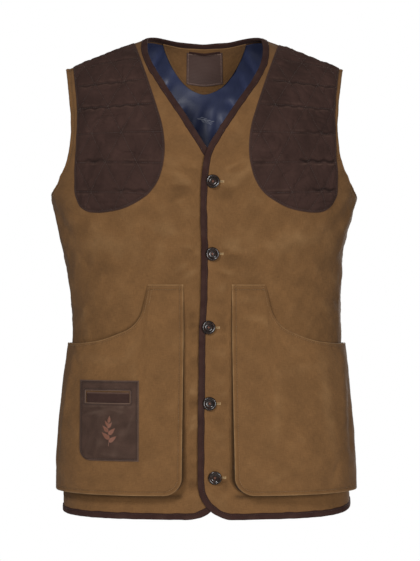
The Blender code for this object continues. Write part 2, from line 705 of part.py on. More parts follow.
def across_share(side, a):
    """0 at a pocket's inner edge and 1 at its side."""
    first, last = pocket_turn(side, POCKET_TOP[0, 0]), pocket_turn(side, POCKET_TOP[-1, 0])
    return (a - first) / (last - first)


def pocket_grid(side):
    """The a and v of a pocket's points: rows from its bottom, columns from its inner edge."""
    edge_a = pocket_turn(side, POCKET_TOP[0, 0])
    steps = (0.0, 0.010, POCKET_CORNER)
    columns = []
    inner_x = float(form(-1, edge_a, 0.3)[0])
    for step in steps:
        columns.append(float(spot(-1, inner_x + side * step, -0.5)[0]))
    columns += [float(pocket_turn(side, degrees)) for degrees in POCKET_COLUMNS]
    rows = []
    degrees = np.array([abs(math.degrees(a)) for a in columns])
    table = np.array([abs(math.degrees(pocket_turn(side, d))) for d in POCKET_TOP[:, 0]])
    tops = np.interp(degrees, table, POCKET_TOP[:, 1])
    bands = [0.0, 0.010, POCKET_CORNER]
    for j in range(len(bands) + POCKET_ROWS):
        row = []
        for i, a in enumerate(columns):
            if j < len(bands):
                z = POCKET_BOTTOM + bands[j]
            else:
                z = POCKET_BOTTOM + POCKET_CORNER
                z += (tops[i] - z) * (j - len(bands) + 1) / POCKET_ROWS
            if i < len(steps) and j < len(bands):
                out, high = round_corner(steps[i], bands[j], POCKET_CORNER)
                a = float(spot(-1, inner_x + side * out, -0.5)[0])
                z = POCKET_BOTTOM + high
            hem, chest = levels(a)
            row.append((a, (z - hem) / (chest - hem)))
        rows.append(row)
    grid = np.array(rows)
    return grid[..., 0], grid[..., 1]


def pocket_front(name, side):
    piece = "over" if side > 0 else "under"
    a, v = pocket_grid(side)
    stand = stand_off(across_share(side, a), form(-1, a, v)[..., 2])
    layered(name, piece, a, v, stand - CANVAS, stand, grid_faces(*a.shape), CANVAS_TAN, 0.85)


def thickened(path, thickness):
    """Two lines half a thickness to each side of a flat path."""
    ahead = unit(np.gradient(path, axis=0))
    aside = np.stack([-ahead[..., 1], ahead[..., 0]], -1) * thickness / 2
    return path + aside, path - aside


def pocket_gusset(name, side):
    """The bellows strip that joins a pocket to the front: a flange sewn to the front, and a
    web that stands up to the back of the pocket's edge."""
    piece = "over" if side > 0 else "under"
    a, v = pocket_grid(side)
    grid = np.stack([a, v], -1)
    last_row, last_column = a.shape[0] - 1, a.shape[1] - 1
    z = form(-1, a[:, 0], v[:, 0])[..., 2]
    share = (z - POCKET_BOTTOM) / (POCKET_TOP[0, 1] - POCKET_BOTTOM)
    start = max(j for j in range(last_row + 1) if share[j] <= GUSSET_TOP)
    edge = [grid[j, 0] for j in range(start, 0, -1)] + [grid[0, i] for i in range(last_column + 1)]
    inner = [grid[max(j, 1), 1] for j in range(start, 0, -1)]
    inner += [grid[1, min(max(i, 1), last_column - 1)] for i in range(last_column + 1)]
    edge += [grid[j, last_column] for j in range(1, last_row + 1)]
    inner += [grid[max(j, 1), last_column - 1] for j in range(1, last_row + 1)]
    edge, inner = np.array(edge), np.array(inner)
    points, normals = cloth(piece, edge[:, 0], edge[:, 1])
    out = points - cloth(piece, inner[:, 0], inner[:, 1])[0]
    out = unit(out - normals * (out * normals).sum(-1, keepdims=True))
    stand = stand_off(across_share(side, edge[:, 0]), form(-1, edge[:, 0], edge[:, 1])[..., 2])
    upright = np.clip((stand - GUSSET_FLAT) / 0.008, 0, 1)
    flat = GUSSET_GAP + GUSSET_WALL / 2
    top = stand - CANVAS - SEAM - GUSSET_WALL / 2 * (1 - upright) - 0.0001
    path = np.stack([
        np.stack([np.full_like(stand, GUSSET_FLANGE), np.full_like(stand, flat)], -1),
        np.stack([0.0010 * upright, np.full_like(stand, flat)], -1),
        np.stack([-0.0020 * (1 - upright) + 0.0012 * upright, (flat + top) / 2], -1),
        np.stack([-0.0045 * (1 - upright) - 0.0012 * upright, top], -1),
    ], axis=0)
    sheets = []
    for line in thickened(path, GUSSET_WALL):
        line = np.swapaxes(line, 0, 1)
        sheets.append(points[:, None] + out[:, None] * line[..., :1] + normals[:, None] * line[..., 1:])
    wall(name, sheets[0], sheets[1], grid_faces(len(edge), 4), CANVAS_TAN, 0.85)


def on_pocket(x, z, puff):
    """The a, v and stand-off of the place on the right pocket that shows at x, z."""
    aim_x, aim_z = x.copy(), z.copy()
    for _ in range(8):
        a, v = spot(-1, aim_x, aim_z)
        stand = stand_off(across_share(-1, a), aim_z) + puff
        points, normals = cloth("under", a, v)
        shown = points + normals * stand[..., None]
        aim_x += x - shown[..., 0]
        aim_z += z - shown[..., 2]
    return a, v, stand


def small_pocket():
    """A patch with a slot, swollen a little in its middle, and the welt behind the slot."""
    x, z = np.meshgrid(SMALL_X, SMALL_Z)
    low, out = SMALL_Z[0], SMALL_X[0]
    x[0, 0], z[0, 0] = out + SMALL_CORNER * 0.35, low + SMALL_CORNER * 0.35
    across = (x - SMALL_X[0]) / (SMALL_X[-1] - SMALL_X[0])
    up = (z - SMALL_Z[0]) / (SMALL_Z[-1] - SMALL_Z[0])
    puff = SMALL_PUFF * np.sqrt(np.clip(np.sin(math.pi * across) * np.sin(math.pi * up), 0, 1))
    a, v, stand = on_pocket(x, z, SMALL_LIFT + puff)
    slot = {(SLOT_ROW, i) for i in range(*SLOT_COLUMNS)}
    faces = grid_faces(len(SMALL_Z), len(SMALL_X), slot)
    layered("patch_pocket", "under", a, v, stand, stand + TRIM, faces, LEATHER, 0.75)
    x = np.linspace(SMALL_X[SLOT_COLUMNS[0]] + 0.002, SMALL_X[SLOT_COLUMNS[1]] - 0.002, 5)
    z = np.array([SMALL_Z[SLOT_ROW] + WELT_GROW, SMALL_Z[SLOT_ROW + 1] - WELT_GROW])
    x, z = np.meshgrid(x, z)
    a, v, stand = on_pocket(x, z, SMALL_LIFT - 0.0001)
    layered("patch_pocket_welt", "under", a, v, stand, stand + TRIM, grid_faces(2, 5), LEATHER, 0.75)


def button_base(x, z):
    """How much a button is raised where it lies partly on the binding."""
    reach = x - (edge_x("over", z) + BINDING_WIDTH)
    below = np.interp(reach, [0.0055, 0.0093], [0.0005, 0.0023])
    return max(0.0, BINDING_OVER + SEAM - float(below)) if reach < 0.0100 else 0.0


def button_mesh():
    """A turned button with a sunk middle and four holes."""
    mesh = bpy.data.meshes.new("button_profile")
    points = [(radius, 0.0, high) for radius, high in BUTTON_PROFILE]
    mesh.from_pydata(points, [(k, k + 1) for k in range(len(points) - 1)], [])
    turned = bpy.data.objects.new("button_blank", mesh)
    bpy.data.collections["cutters"].objects.link(turned)
    screw = turned.modifiers.new("turn", "SCREW")
    screw.steps = screw.render_steps = BUTTON_STEPS
    screw.use_merge_vertices = True
    screw.merge_threshold = 1e-5
    drills = bmesh.new()
    for turn in range(4):
        angle = math.radians(45 + 90 * turn)
        made = bmesh.ops.create_cone(
            drills, cap_ends=True, segments=6, radius1=BUTTON_HOLE, radius2=BUTTON_HOLE, depth=0.02
        )
        shift = Vector((math.cos(angle), math.sin(angle), 0)) * BUTTON_HOLE_OUT
        bmesh.ops.translate(drills, verts=made["verts"], vec=shift)
    drill_mesh = bpy.data.meshes.new("button_drills")
    drills.to_mesh(drill_mesh)
    drills.free()
    drill = bpy.data.objects.new("button_drills", drill_mesh)
    bpy.data.collections["cutters"].objects.link(drill)
    cut = turned.modifiers.new("holes", "BOOLEAN")
    cut.object = drill
    graph = bpy.context.evaluated_depsgraph_get()
    whole = bpy.data.meshes.new_from_object(turned.evaluated_get(graph))
    bpy.data.objects.remove(turned)
    bpy.data.objects.remove(drill)
    return whole


def buttons():
    pattern = button_mesh()
    for number, (x, z) in enumerate(BUTTONS, start=1):
        a, v = spot(-1, x, z)
        point, normal = cloth("over", a, v)
        button = finish(f"button_{number}", pattern.copy(), BUTTON_BLACK, 0.35)
        button.location = Vector(point) + Vector(normal) * button_base(x, z)
        button.rotation_euler = Vector(normal).to_track_quat("Z", "X").to_euler()
    bpy.data.meshes.remove(pattern)


def between(chosen, count):
    """Weights that take values at the chosen places of a row to all of its places."""
    places = np.arange(count)
    return np.stack([np.interp(places, chosen, row) for row in np.eye(len(chosen))], axis=1)


def lining(a, v):
    """The satin inside the back, from half of the back's rows and columns. It hangs a
    little further in where a straight line between its points would cross the cloth."""
    middle = a.shape[1] // 2
    steps = [*range(BACK_NECK_COLUMNS + 2), *range(BACK_NECK_COLUMNS + 3, middle, 2), middle]
    columns = sorted({middle + side * step for step in steps for side in (-1, 1)})
    rows = [1, *range(2, a.shape[0] - 4, 2), a.shape[0] - 4, a.shape[0] - 3, a.shape[0] - 2]
    depth = np.full((len(rows), len(columns)), CANVAS + SEAM)
    points, normals = cloth("back", a, v)
    limit = points - normals * (CANVAS + SEAM)
    down, along = between(rows, a.shape[0]), between(columns, a.shape[1])
    for _ in range(12):
        sheet = points[np.ix_(rows, columns)] - normals[np.ix_(rows, columns)] * depth[..., None]
        sheet = np.einsum("jr,rck,ic->jik", down, sheet, along)
        excess = ((sheet - limit) * normals).sum(-1)
        excess[:rows[0]] = excess[rows[-1] + 1:] = 0
        near = np.einsum("jr,ic->rcji", down > 0, along > 0)
        depth = depth + np.clip((near * excess).max(axis=(2, 3)), 0, None)
    part_a = a[np.ix_(rows, columns)]
    part_v = v[np.ix_(rows, columns)].copy()
    part_v[0] = up_by(1, part_a[0], part_v[0], 0.0008)
    neck = np.abs(np.array(columns) - middle) <= BACK_NECK_COLUMNS
    part_v[-1] = np.where(neck, up_by(1, part_a[-1], part_v[-1], -0.0010), v[-1, columns] - 0.004)
    depth = -depth - 0.0002
    faces = grid_faces(*part_a.shape)
    layered("lining_back", "back", part_a, part_v, depth - TRIM, depth, faces, SATIN_NAVY, 0.35)


def from_neck(across, down):
    """The a and v of a place inside the back, by distances from the middle of the neck's edge."""
    a = np.arcsin(np.clip(np.abs(across) / TOP_HALF_WIDTH, 0, 1) ** (SQUARENESS / 2)) * np.sign(across)
    v_table = np.linspace(0.8, 2, 1500)
    run = lengths(form(1, math.radians(8), v_table))
    top = neck_top(a)
    return a, np.interp(np.interp(top, v_table, run) - down, run, v_table)


def back_neck_pieces():
    """The half-moon facing, the label and the hang loop."""
    turn = np.linspace(0, math.pi, 21)
    low = np.stack([
        FACING_HALF * np.cos(turn),
        BINDING_WIDTH + 0.001 + (FACING_DROP - BINDING_WIDTH) * np.abs(np.sin(turn)) ** FACING_ROUND,
    ], -1)
    top = np.stack([np.linspace(-FACING_HALF, FACING_HALF, 11)[1:-1], np.full(9, BINDING_WIDTH + 0.001)], -1)
    outline = np.concatenate([low, top])
    grid = np.stack(np.meshgrid(np.linspace(-0.06, 0.06, 11), np.linspace(0.02, 0.09, 6)), -1).reshape(-1, 2)
    flat, faces = filled(outline, inside_of(outline, grid, 0.006))
    a, v = from_neck(flat[:, 0], flat[:, 1])
    depth = -CANVAS - 2 * SEAM - TRIM - FACING_SLACK
    layered("neck_facing", "back", a, v, depth - TRIM, depth, faces, CANVAS_TAN, 0.85)
    depth -= TRIM + LABEL_SLACK
    across = np.linspace(-LABEL_SIZE[0] / 2, LABEL_SIZE[0] / 2, 5)
    across, down = np.meshgrid(across, np.linspace(LABEL_DROP, LABEL_DROP + LABEL_SIZE[1], 6))
    a, v = from_neck(across, down)
    layered("neck_label", "back", a, v, depth - TRIM, depth, grid_faces(6, 5), LABEL_BROWN, 0.8)
    across = np.linspace(-LOOP_SIZE[0] / 2, LOOP_SIZE[0] / 2, 9)
    bow = LOOP_BOW * np.cos(math.pi * across / LOOP_SIZE[0])
    across, down = np.meshgrid(across, (LOOP_DROP, LOOP_DROP + LOOP_SIZE[1] / 2))
    a, v = from_neck(across, down)
    layered("hang_loop", "back", a, v, depth - bow - TRIM, depth - bow, grid_faces(2, 9), BINDING_BROWN, 0.7)


def build():
    for old in list(bpy.data.objects):
        bpy.data.objects.remove(old, do_unlink=True)
    for name in ("gilet", "cutters"):
        bpy.context.scene.collection.children.link(bpy.data.collections.new(name))
    bpy.data.collections["cutters"].hide_render = True
    for piece, name in (("over", "front_left"), ("under", "front_right")):
        a, v = front_grid(piece)
        panel(name, piece, a, v)
        front_binding(name.replace("front", "binding_front"), piece, a, v)
    a, v = back_grid()
    panel("back", "back", a, v)
    back_bindings(a, v)
    lining(a, v)
    back_neck_pieces()
    for side, name in ((1, "left"), (-1, "right")):
        recoil_patch(f"recoil_patch_{name}", side)
        pocket_front(f"pocket_{name}", side)
        pocket_gusset(f"pocket_gusset_{name}", side)
    small_pocket()
    buttons()


build()
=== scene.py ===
"""The looks of a canvas shooting gilet in its worn form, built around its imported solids."""

from functools import cache
from math import cos, pi, radians, sin, sqrt

import bmesh
import bpy
import numpy as np
from bpy.props import FloatProperty, FloatVectorProperty, IntProperty, PointerProperty
from mathutils import Matrix, Vector
from mathutils.geometry import delaunay_2d_cdt


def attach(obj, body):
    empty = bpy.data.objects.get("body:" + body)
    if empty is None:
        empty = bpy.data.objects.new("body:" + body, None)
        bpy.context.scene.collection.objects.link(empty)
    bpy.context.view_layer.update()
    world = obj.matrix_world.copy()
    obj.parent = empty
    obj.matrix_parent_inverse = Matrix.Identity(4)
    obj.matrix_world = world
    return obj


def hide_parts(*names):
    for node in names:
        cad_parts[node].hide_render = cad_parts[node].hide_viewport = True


bl_info = {
    "name": "Shooting gilet",
    "version": (1, 0, 0),
    "blender": (4, 5, 0),
    "location": "3D View > Sidebar > Gilet",
    "description": "Cloth, quilting, trimmings and stitching of a canvas shooting gilet",
    "category": "Object",
}

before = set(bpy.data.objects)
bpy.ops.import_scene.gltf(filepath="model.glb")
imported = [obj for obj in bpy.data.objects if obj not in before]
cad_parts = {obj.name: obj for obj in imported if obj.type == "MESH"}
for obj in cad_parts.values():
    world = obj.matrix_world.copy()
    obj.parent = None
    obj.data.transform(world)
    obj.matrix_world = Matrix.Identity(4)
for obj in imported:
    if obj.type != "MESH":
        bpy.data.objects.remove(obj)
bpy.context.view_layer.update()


def in_mm(*rows):
    """Rows that are given in millimetres, in metres."""
    return tuple(tuple(value / 1000 for value in row) for row in rows)


def creases(*rows):
    """Creases in metres, from their place across and up in millimetres, their tilt in degrees, and
    their half length, half width and height in millimetres."""
    return tuple((x / 1000, z / 1000, tilt, *(size / 1000 for size in sizes)) for x, z, tilt, *sizes in rows)


# Whether a piece faces back or front, and the wearer's side that each front lies on
FACE = {"back": 1, "over": -1, "under": -1}
SIDE = {"over": 1, "under": -1}
FRONT = {1: "over", -1: "under"}

# The form of the worn garment, with the values of the solids
SEAM = 0.0003
CANVAS = 0.0015
NECK_X, NECK_Z, NECK_DIP, NECK_ROUND = 0.0865, 0.024, 0.372, 1.43
SHOULDER_SLOPE, SHOULDER_RISE, SHOULDER_REACH, TOP_HALF_WIDTH = 0.38, 0.165, 0.225, 0.222
HEM_Z, HEM_RISE_RIGHT, HEM_RISE_LEFT, HEM_CORNER = -0.688, 0.003, 0.012, 0.052
BINDING_WIDTH, BINDING_OVER = 0.0085, 0.0013
SQUARENESS = 2.4
MIDDLE_ROUND = 0.1
FRONT_LEAN = ((1.0, 0.0), (1.0, 0.35), (0.35, 0.98), (0.0, 1.0))
BACK_LEAN = ((1.0, 0.0), (1.0, 0.5), (0.65, 1.0), (0.0, 1.0))
# Height, half width on the wearer's right and left, depth of the front and the back
SECTIONS = np.array(in_mm(
    (-690, 212, 219, 120, 112), (-600, 210.5, 215, 121, 112), (-500, 204, 209, 119, 107),
    (-410, 198.5, 205, 116, 101), (-345, 203.5, 205.5, 117, 101), (-290, 214.5, 210, 120, 105),
    (-240, 225.5, 223, 124, 111), (-215, 231.5, 230, 126, 114), (-190, 233, 232, 127, 116),
    (-100, 233, 232, 127, 118),
))
# Finished edges of the fronts: height, x
OVER_EDGE = np.array(in_mm(
    (-690, -9.6), (-580, -9.8), (-480, -8.6), (-420, -8), (-370, -5.6), (-300, -4.6), (-210, -5.3),
    (-185, -3.6), (-165, -0.8), (-149, 4.3), (-122, 20.4), (-98, 35.3), (-72.6, 52.4), (-46.6, 69.7),
    (-19.5, 83), (5, 87.2), (24, 85),
))
UNDER_EDGE = np.array(in_mm(
    (-690, 30), (-300, 30), (-215, 30), (-192, 27.2), (-170, 17.5), (-146, 2.5), (-122, -12.6), (-98, -27.7),
    (-72.7, -44.6), (-46.9, -60.7), (-19.9, -76.5), (5, -84.8), (24, -85),
))
# Armholes: degrees round, height
FRONT_ARMHOLE = np.array([
    (90.0, -0.218), (82.0, -0.2135), (73.0, -0.2055), (64.5, -0.1865), (58.5, -0.163),
    (56.5, -0.129), (57.5, -0.101), (60.0, -0.071), (63.5, -0.045), (68.5, -0.023),
])
BACK_ARMHOLE = np.array([
    (90.0, -0.218), (82.0, -0.214), (73.0, -0.2065), (65.5, -0.188), (61.0, -0.163),
    (59.0, -0.129), (60.0, -0.101), (62.0, -0.071), (65.0, -0.045), (68.5, -0.023),
])
OVERLAP_LIFT, LIFT_FULL_X, LIFT_END_X, LIFT_FULL_Z, LIFT_END_Z = 0.0047, 0.037, 0.085, -0.135, -0.06
# Large folds, as in the solids: degrees round, height, tilt, half length, half width, height
FRONT_FOLDS = (
    (62, -0.262, 38, 0.07, 0.016, -0.0035),
    (50, -0.3, 30, 0.06, 0.015, 0.0025),
    (-66, -0.268, -40, 0.07, 0.016, -0.0035),
    (-52, -0.3, -28, 0.055, 0.015, 0.0025),
    (24, -0.235, 62, 0.05, 0.014, 0.002),
    (-24, -0.25, -58, 0.055, 0.014, 0.002),
)
BACK_FOLDS = (
    (58, -0.27, 35, 0.075, 0.018, -0.004),
    (-56, -0.28, -38, 0.075, 0.018, -0.004),
    (14, -0.4, 5, 0.09, 0.016, 0.003),
    (-22, -0.435, -8, 0.08, 0.016, -0.003),
    (40, -0.455, 14, 0.06, 0.015, 0.0025),
)
# Smaller creases, placed by their distance round the cloth from the middle
FRONT_CREASES = creases(
    (30, -335, -6, 14, 3.5, -0.9), (28, -352, 8, 13, 3, 0.8), (24, -372, -4, 16, 3.5, -1),
    (26, -428, 5, 14, 3.2, -0.9), (22, -446, -8, 13, 3.2, 0.8), (25, -470, 4, 15, 3.5, -0.9),
    (24, -545, -6, 14, 3.4, -0.9), (26, -566, 8, 13, 3, 0.8), (50, -310, -12, 26, 5, -1),
    (45, -286, 10, 22, 4.5, 0.9), (36, -216, 24, 18, 4, -0.8), (60, -182, 30, 25, 5, 0.8),
    (-22, -300, 20, 16, 3.5, -1), (-30, -318, 32, 20, 3.8, 0.9), (-20, -392, -16, 13, 3, -0.9),
    (-19, -412, 10, 12, 3, 0.8), (-20, -462, 24, 14, 3.2, -1), (-20, -520, -14, 13, 3, -0.9),
    (-20, -540, 12, 12, 2.8, 0.8), (-21, -590, -8, 12, 3, -0.9), (-40, -205, -34, 22, 4.5, -0.8),
    (-65, -265, -20, 30, 5.5, 0.8), (255, -300, 18, 30, 6, -0.7), (262, -335, 8, 26, 5, 0.6),
    (250, -372, -6, 28, 5, -0.6), (-262, -310, -16, 30, 6, -0.7), (-255, -345, -6, 26, 5, 0.6),
    (-250, -385, 8, 28, 5, -0.6), (140, -285, 12, 40, 8, 1), (-150, -290, -10, 40, 8, 1),
    (170, -345, -10, 35, 7, -0.9), (-170, -330, 14, 35, 7, -0.9), (60, -670, 4, 40, 4, 0.6),
    (-70, -668, -4, 40, 4, 0.6),
)
BACK_CREASES = creases(
    (60, -380, 8, 70, 7, -1.6), (-70, -405, -10, 70, 7, 1.4), (130, -430, 16, 50, 6, 1.3),
    (-140, -372, -18, 50, 6, -1.4), (200, -300, 40, 50, 7, -1.5), (-205, -310, -42, 50, 7, -1.5),
    (215, -350, 30, 45, 6, 1.3), (-220, -360, -32, 45, 6, 1.3), (20, -520, 4, 60, 9, 1),
    (-100, -550, 82, 60, 10, 1.2), (110, -560, 98, 60, 10, 1.2), (20, -120, 2, 60, 10, 1),
    (240, -560, 80, 50, 7, -1.2), (-235, -540, 100, 50, 7, -1.2),
)

# Recoil patch: distance round the chest, height up the cloth from the chest line
PATCH_EDGE = in_mm(
    (120.5, 217.5), (115, 195), (106.8, 168), (95.8, 134), (86.2, 105), (75.9, 73.8), (68.6, 51),
    (64.5, 30), (63.5, 12), (67.9, -15.5), (76.2, -34.3), (89, -49.7), (107.6, -62), (129, -72),
    (155, -78.5), (176.5, -81), (196, -78.7), (207, -71), (211.2, -58), (211.6, -30), (210.5, 0),
    (211, 30), (212.5, 66), (216.5, 97), (223.5, 131.8), (229.5, 158), (235, 182.2),
)
PATCH_SHIFT = 0.004
QUILT_PHASE = (0.1065, 0.0803)
# Deep creases along the quilting of the left and right patch: ends along the chest, height, depth
QUILT_CREASES = {
    1: in_mm((135, 212, -4, 2.2), (158, 212, -46.2, 2), (150, 212, 39.5, 1.2), (90, 205, 79, 1),
             (100, 215, 121.5, 1.2)),
    -1: in_mm((150, 198, -4, 1.4), (85, 150, -46, 1.2), (85, 205, 79, 1.1), (105, 215, 121.5, 1)),
}

# Bellows pockets
POCKET_TOP = np.array([
    (7.0, -0.3464), (20.8, -0.3464), (21.8, -0.366), (23.2, -0.385), (25.8, -0.401),
    (29.0, -0.4105), (34.0, -0.418), (43.0, -0.4275), (54.0, -0.4322), (84.0, -0.4335),
])
POCKET_SHIFT, POCKET_BOTTOM, POCKET_CORNER, POCKET_OUTER_CORNER = 1.2, -0.651, 0.026, 0.011
# Share of the height, then how far the pocket stands off at its inner edge, middle and side
POCKET_STAND = np.array([
    (0.0, 0.018, 0.01, 0.011),
    (0.12, 0.0175, 0.012, 0.0115),
    (0.35, 0.0115, 0.0115, 0.011),
    (0.6, 0.0065, 0.011, 0.008),
    (0.75, 0.0046, 0.0095, 0.0055),
    (0.92, 0.0043, 0.0006, 0.0044),
    (1.0, 0.0019, 0.0, 0.0019),
])
# Creases on the left and right pocket, placed by their distance from its inner edge
POCKET_CREASES = {
    1: creases(
        (30, -368, 8, 22, 4, 0.8), (36, -380, -10, 20, 3.6, -0.8), (30, -396, 5, 18, 3.6, 0.7),
        (50, -402, -24, 22, 4, 0.8), (120, -470, 6, 45, 7, 0.9), (70, -540, 75, 50, 10, 0.9),
        (165, -520, 82, 60, 10, 1.4), (178, -560, 86, 50, 8, -1.2), (140, -620, 70, 22, 5, -1),
        (60, -625, 30, 22, 5, 0.9),
    ),
    -1: creases(
        (34, -372, -10, 20, 3.6, 0.8), (44, -394, 14, 20, 3.6, -0.8), (60, -412, -24, 22, 4, 0.8),
        (105, -455, -5, 45, 7, 0.9), (178, -520, 96, 60, 8, 1.4), (190, -580, 94, 40, 7, -1.2),
        (160, -450, 60, 22, 5, 0.9), (40, -560, 100, 50, 9, 0.8), (55, -628, -28, 22, 5, 0.9),
        (120, -632, -8, 40, 6, -0.8),
    ),
}
SMALL_X, SMALL_Z = (-0.181, -0.0945), (-0.6015, -0.4855)
SLOT_X, SLOT_Z = (-0.1715, -0.1072), (-0.518, -0.501)
SMALL_CORNER = 0.016
# Creases on the small pocket
SMALL_CREASES = creases(
    (-150, -525.5, 6, 16, 2.2, -1), (-128, -529, -12, 14, 2, 0.8), (-158, -532, 14, 12, 2.2, 0.8),
    (-112, -523, 35, 8, 2.2, -0.7), (-106, -545, 70, 12, 2.2, 0.6), (-168, -560, 80, 14, 2.6, -0.6),
    (-135, -593, -5, 20, 2.6, 0.6), (-140, -494, 3, 24, 1.8, -0.5),
)

BUTTONS = ((0.0127, -0.1975), (0.0119, -0.3021), (0.0064, -0.409), (0.0077, -0.519), (0.0156, -0.626))
BUTTON_PROFILE = in_mm(
    (0, 3.15), (3, 3.05), (4.8, 3.2), (6, 3.8), (7, 4.5), (8, 4.8), (9, 4.6), (9.7, 4), (10, 3.3), (9.8, 2.7),
    (9, 2.2), (7, 1.4), (5.5, 0.6), (0, 0.6),
)

FACING_HALF, FACING_DROP, FACING_ROUND, FACING_DEPTH = 0.064, 0.084, 1.15, 0.0044
LABEL_SIZE, LABEL_DROP, LABEL_DEPTH = (0.057, 0.056), 0.0135, 0.006
LOOP_SIZE, LOOP_DROP, LOOP_DEPTH, LOOP_BOW = (0.05, 0.0045), 0.01, 0.0062, 0.0025

# Folds of the lining
LINING_CREASES = creases(
    (-85, -10, 62, 45, 5.5, 4.5), (-72, -50, 52, 45, 5, 4), (-52, -85, 40, 40, 5.5, 4.2),
    (82, -15, -60, 45, 5.5, 4.5), (70, -48, -66, 40, 4.5, 4), (56, -78, -48, 40, 5.5, 4.2),
    (10, -98, 84, 30, 6, 3.6), (-20, -110, 70, 35, 5, 3.4), (34, -112, -72, 35, 5.5, 3.6),
    (0, -150, 12, 50, 7, 3), (60, -170, -30, 60, 8, 3.6), (-60, -190, 35, 60, 8, 3.6),
)

# Rows and columns that lie close to an edge, for its roll and its stitching
RINGS = np.array((0.0, 0.0007, 0.0016, 0.0028, 0.0042, 0.0056, 0.007, 0.0085))


def tone(code):
    """Linear red, green, blue and alpha of an sRGB hex colour."""
    parts = [int(code[k:k + 2], 16) / 255 for k in (0, 2, 4)]
    return (*[c / 12.92 if c <= 0.04045 else ((c + 0.055) / 1.055) ** 2.4 for c in parts], 1.0)


def colour_of(label, code, words):
    return FloatVectorProperty(name=label, description=words, subtype="COLOR", size=4, default=tone(code))


def length_of(label, metres, words):
    return FloatProperty(name=label, description=words, subtype="DISTANCE", default=metres, precision=4)


class GiletClothSettings(bpy.types.PropertyGroup):
    """Canvas, lining and their sewing"""

    spacing: length_of("Spacing", 0.0032, "Distance between the points of the canvas panels")
    canvas: colour_of("Canvas", "735231", "Colour of the washed canvas")
    # Mixed in where edges have rubbed, and on crease ridges partly as painted highlight
    canvas_worn_and_highlight: colour_of("Worn canvas", "A5835A", "Colour of the canvas where edges have rubbed")
    satin: colour_of("Satin", "3F4769", "Colour of the lining")
    thread: colour_of("Thread", "8C6A42", "Colour of the sewing thread on canvas")
    pitch: length_of("Stitch pitch", 0.0034, "Distance from one stitch to the next")
    unevenness: length_of("Unevenness", 0.0005, "Height of the small waves that all the cloth has")
    creasing: FloatProperty(name="Creasing", description="Depth of the creases, 1 as listed", default=2.2)


class GiletTrimSettings(bpy.types.PropertyGroup):
    """Suede, binding tape and buttons"""

    suede: colour_of("Suede", "3B2924", "Colour of the recoil patches")
    nubuck: colour_of("Nubuck", "47352D", "Colour of the small patch pocket")
    tape: colour_of("Tape", "35211D", "Colour of the binding")
    dark_thread: colour_of("Dark thread", "4C3A32", "Colour of the thread on suede and tape")
    buttonhole: colour_of("Buttonhole thread", "B59669", "Colour of the buttonholes")
    embroidery: colour_of("Embroidery", "84543F", "Colour of the sprig on the small pocket")
    horn: colour_of("Horn", "1B1513", "Colour of the buttons")
    quilt_side: length_of("Quilting", 0.05, "Side of the quilting's triangles")
    quilt_puff: length_of("Puff", 0.0024, "Height of the padding between the quilting's lines")


class GiletStageSettings(bpy.types.PropertyGroup):
    """Camera, light and floor"""

    distance: length_of("Camera distance", 3.12, "Distance from the camera to the middle of the gilet")
    lens: FloatProperty(name="Lens", description="Focal length", subtype="DISTANCE_CAMERA", default=132.8)
    key: FloatProperty(name="Key light", description="Power of the main light", default=41.0, unit="POWER")
    sky: FloatProperty(name="Sky", description="Strength of the even light from all round", default=0.13)
    floor: colour_of("Floor", "F4F3F1", "Colour of the floor")
    floor_radius: length_of("Floor radius", 0.68, "Radius of the floor")
    floor_height: length_of("Floor height", -0.86, "Height of the floor")
    seed: IntProperty(name="Seed", description="Start of the small random differences", default=7)


# Geometry

def smooth(knots, values, at):
    """A soft curve through a table's rows."""
    slopes = np.gradient(values, knots)
    at = np.clip(at, knots[0], knots[-1])
    i = np.clip(np.searchsorted(knots, at) - 1, 0, len(knots) - 2)
    gap = knots[i + 1] - knots[i]
    t = (at - knots[i]) / gap
    start = (1 + 2 * t) * (1 - t) ** 2 * values[i] + t * (1 - t) ** 2 * gap * slopes[i]
    return start + t * t * (3 - 2 * t) * values[i + 1] + t * t * (t - 1) * gap * slopes[i + 1]


def bezier(points, t):
    weights = np.stack([(1 - t) ** 3, 3 * t * (1 - t) ** 2, 3 * t * t * (1 - t), t ** 3], -1)
    both = weights @ np.array(points)
    return both[..., 0], both[..., 1]


def fade(value, start, end):
    """1 before start, 0 after end, and a soft slope between."""
    t = np.clip((value - start) / (end - start), 0, 1)
    return 1 - t * t * (3 - 2 * t)


def power(value, exponent):
    return np.sign(value) * np.abs(value) ** exponent


def unit(vectors):
    return vectors / np.maximum(np.linalg.norm(vectors, axis=-1, keepdims=True), 1e-12)


def bell(distance, width):
    return np.exp(-(distance / width) ** 2)


def lengths(points):
    return np.concatenate([[0], np.cumsum(np.linalg.norm(np.diff(points, axis=0), axis=1))])


def levels(a):
    """Heights of the hem and the chest line. The shoulder line is rounded over in the middle."""
    share = np.abs(np.sin(a)) ** (2 / SQUARENESS)
    share = np.where(share < MIDDLE_ROUND, (share ** 2 / MIDDLE_ROUND + MIDDLE_ROUND) / 2, share)
    chest = NECK_Z - SHOULDER_SLOPE * (SHOULDER_REACH * share - NECK_X) - SHOULDER_RISE
    rise = np.where(a > 0, HEM_RISE_LEFT, HEM_RISE_RIGHT)
    return HEM_Z + rise * (np.abs(a) / (pi / 2)) ** 4, chest


def half_width(a, z, t):
    right, left = (smooth(SECTIONS[:, 0], SECTIONS[:, k], z) for k in (1, 2))
    side = np.where(a > 0, left, right)
    return side + (TOP_HALF_WIDTH - side) * t


def lean(face):
    return FRONT_LEAN if face < 0 else BACK_LEAN


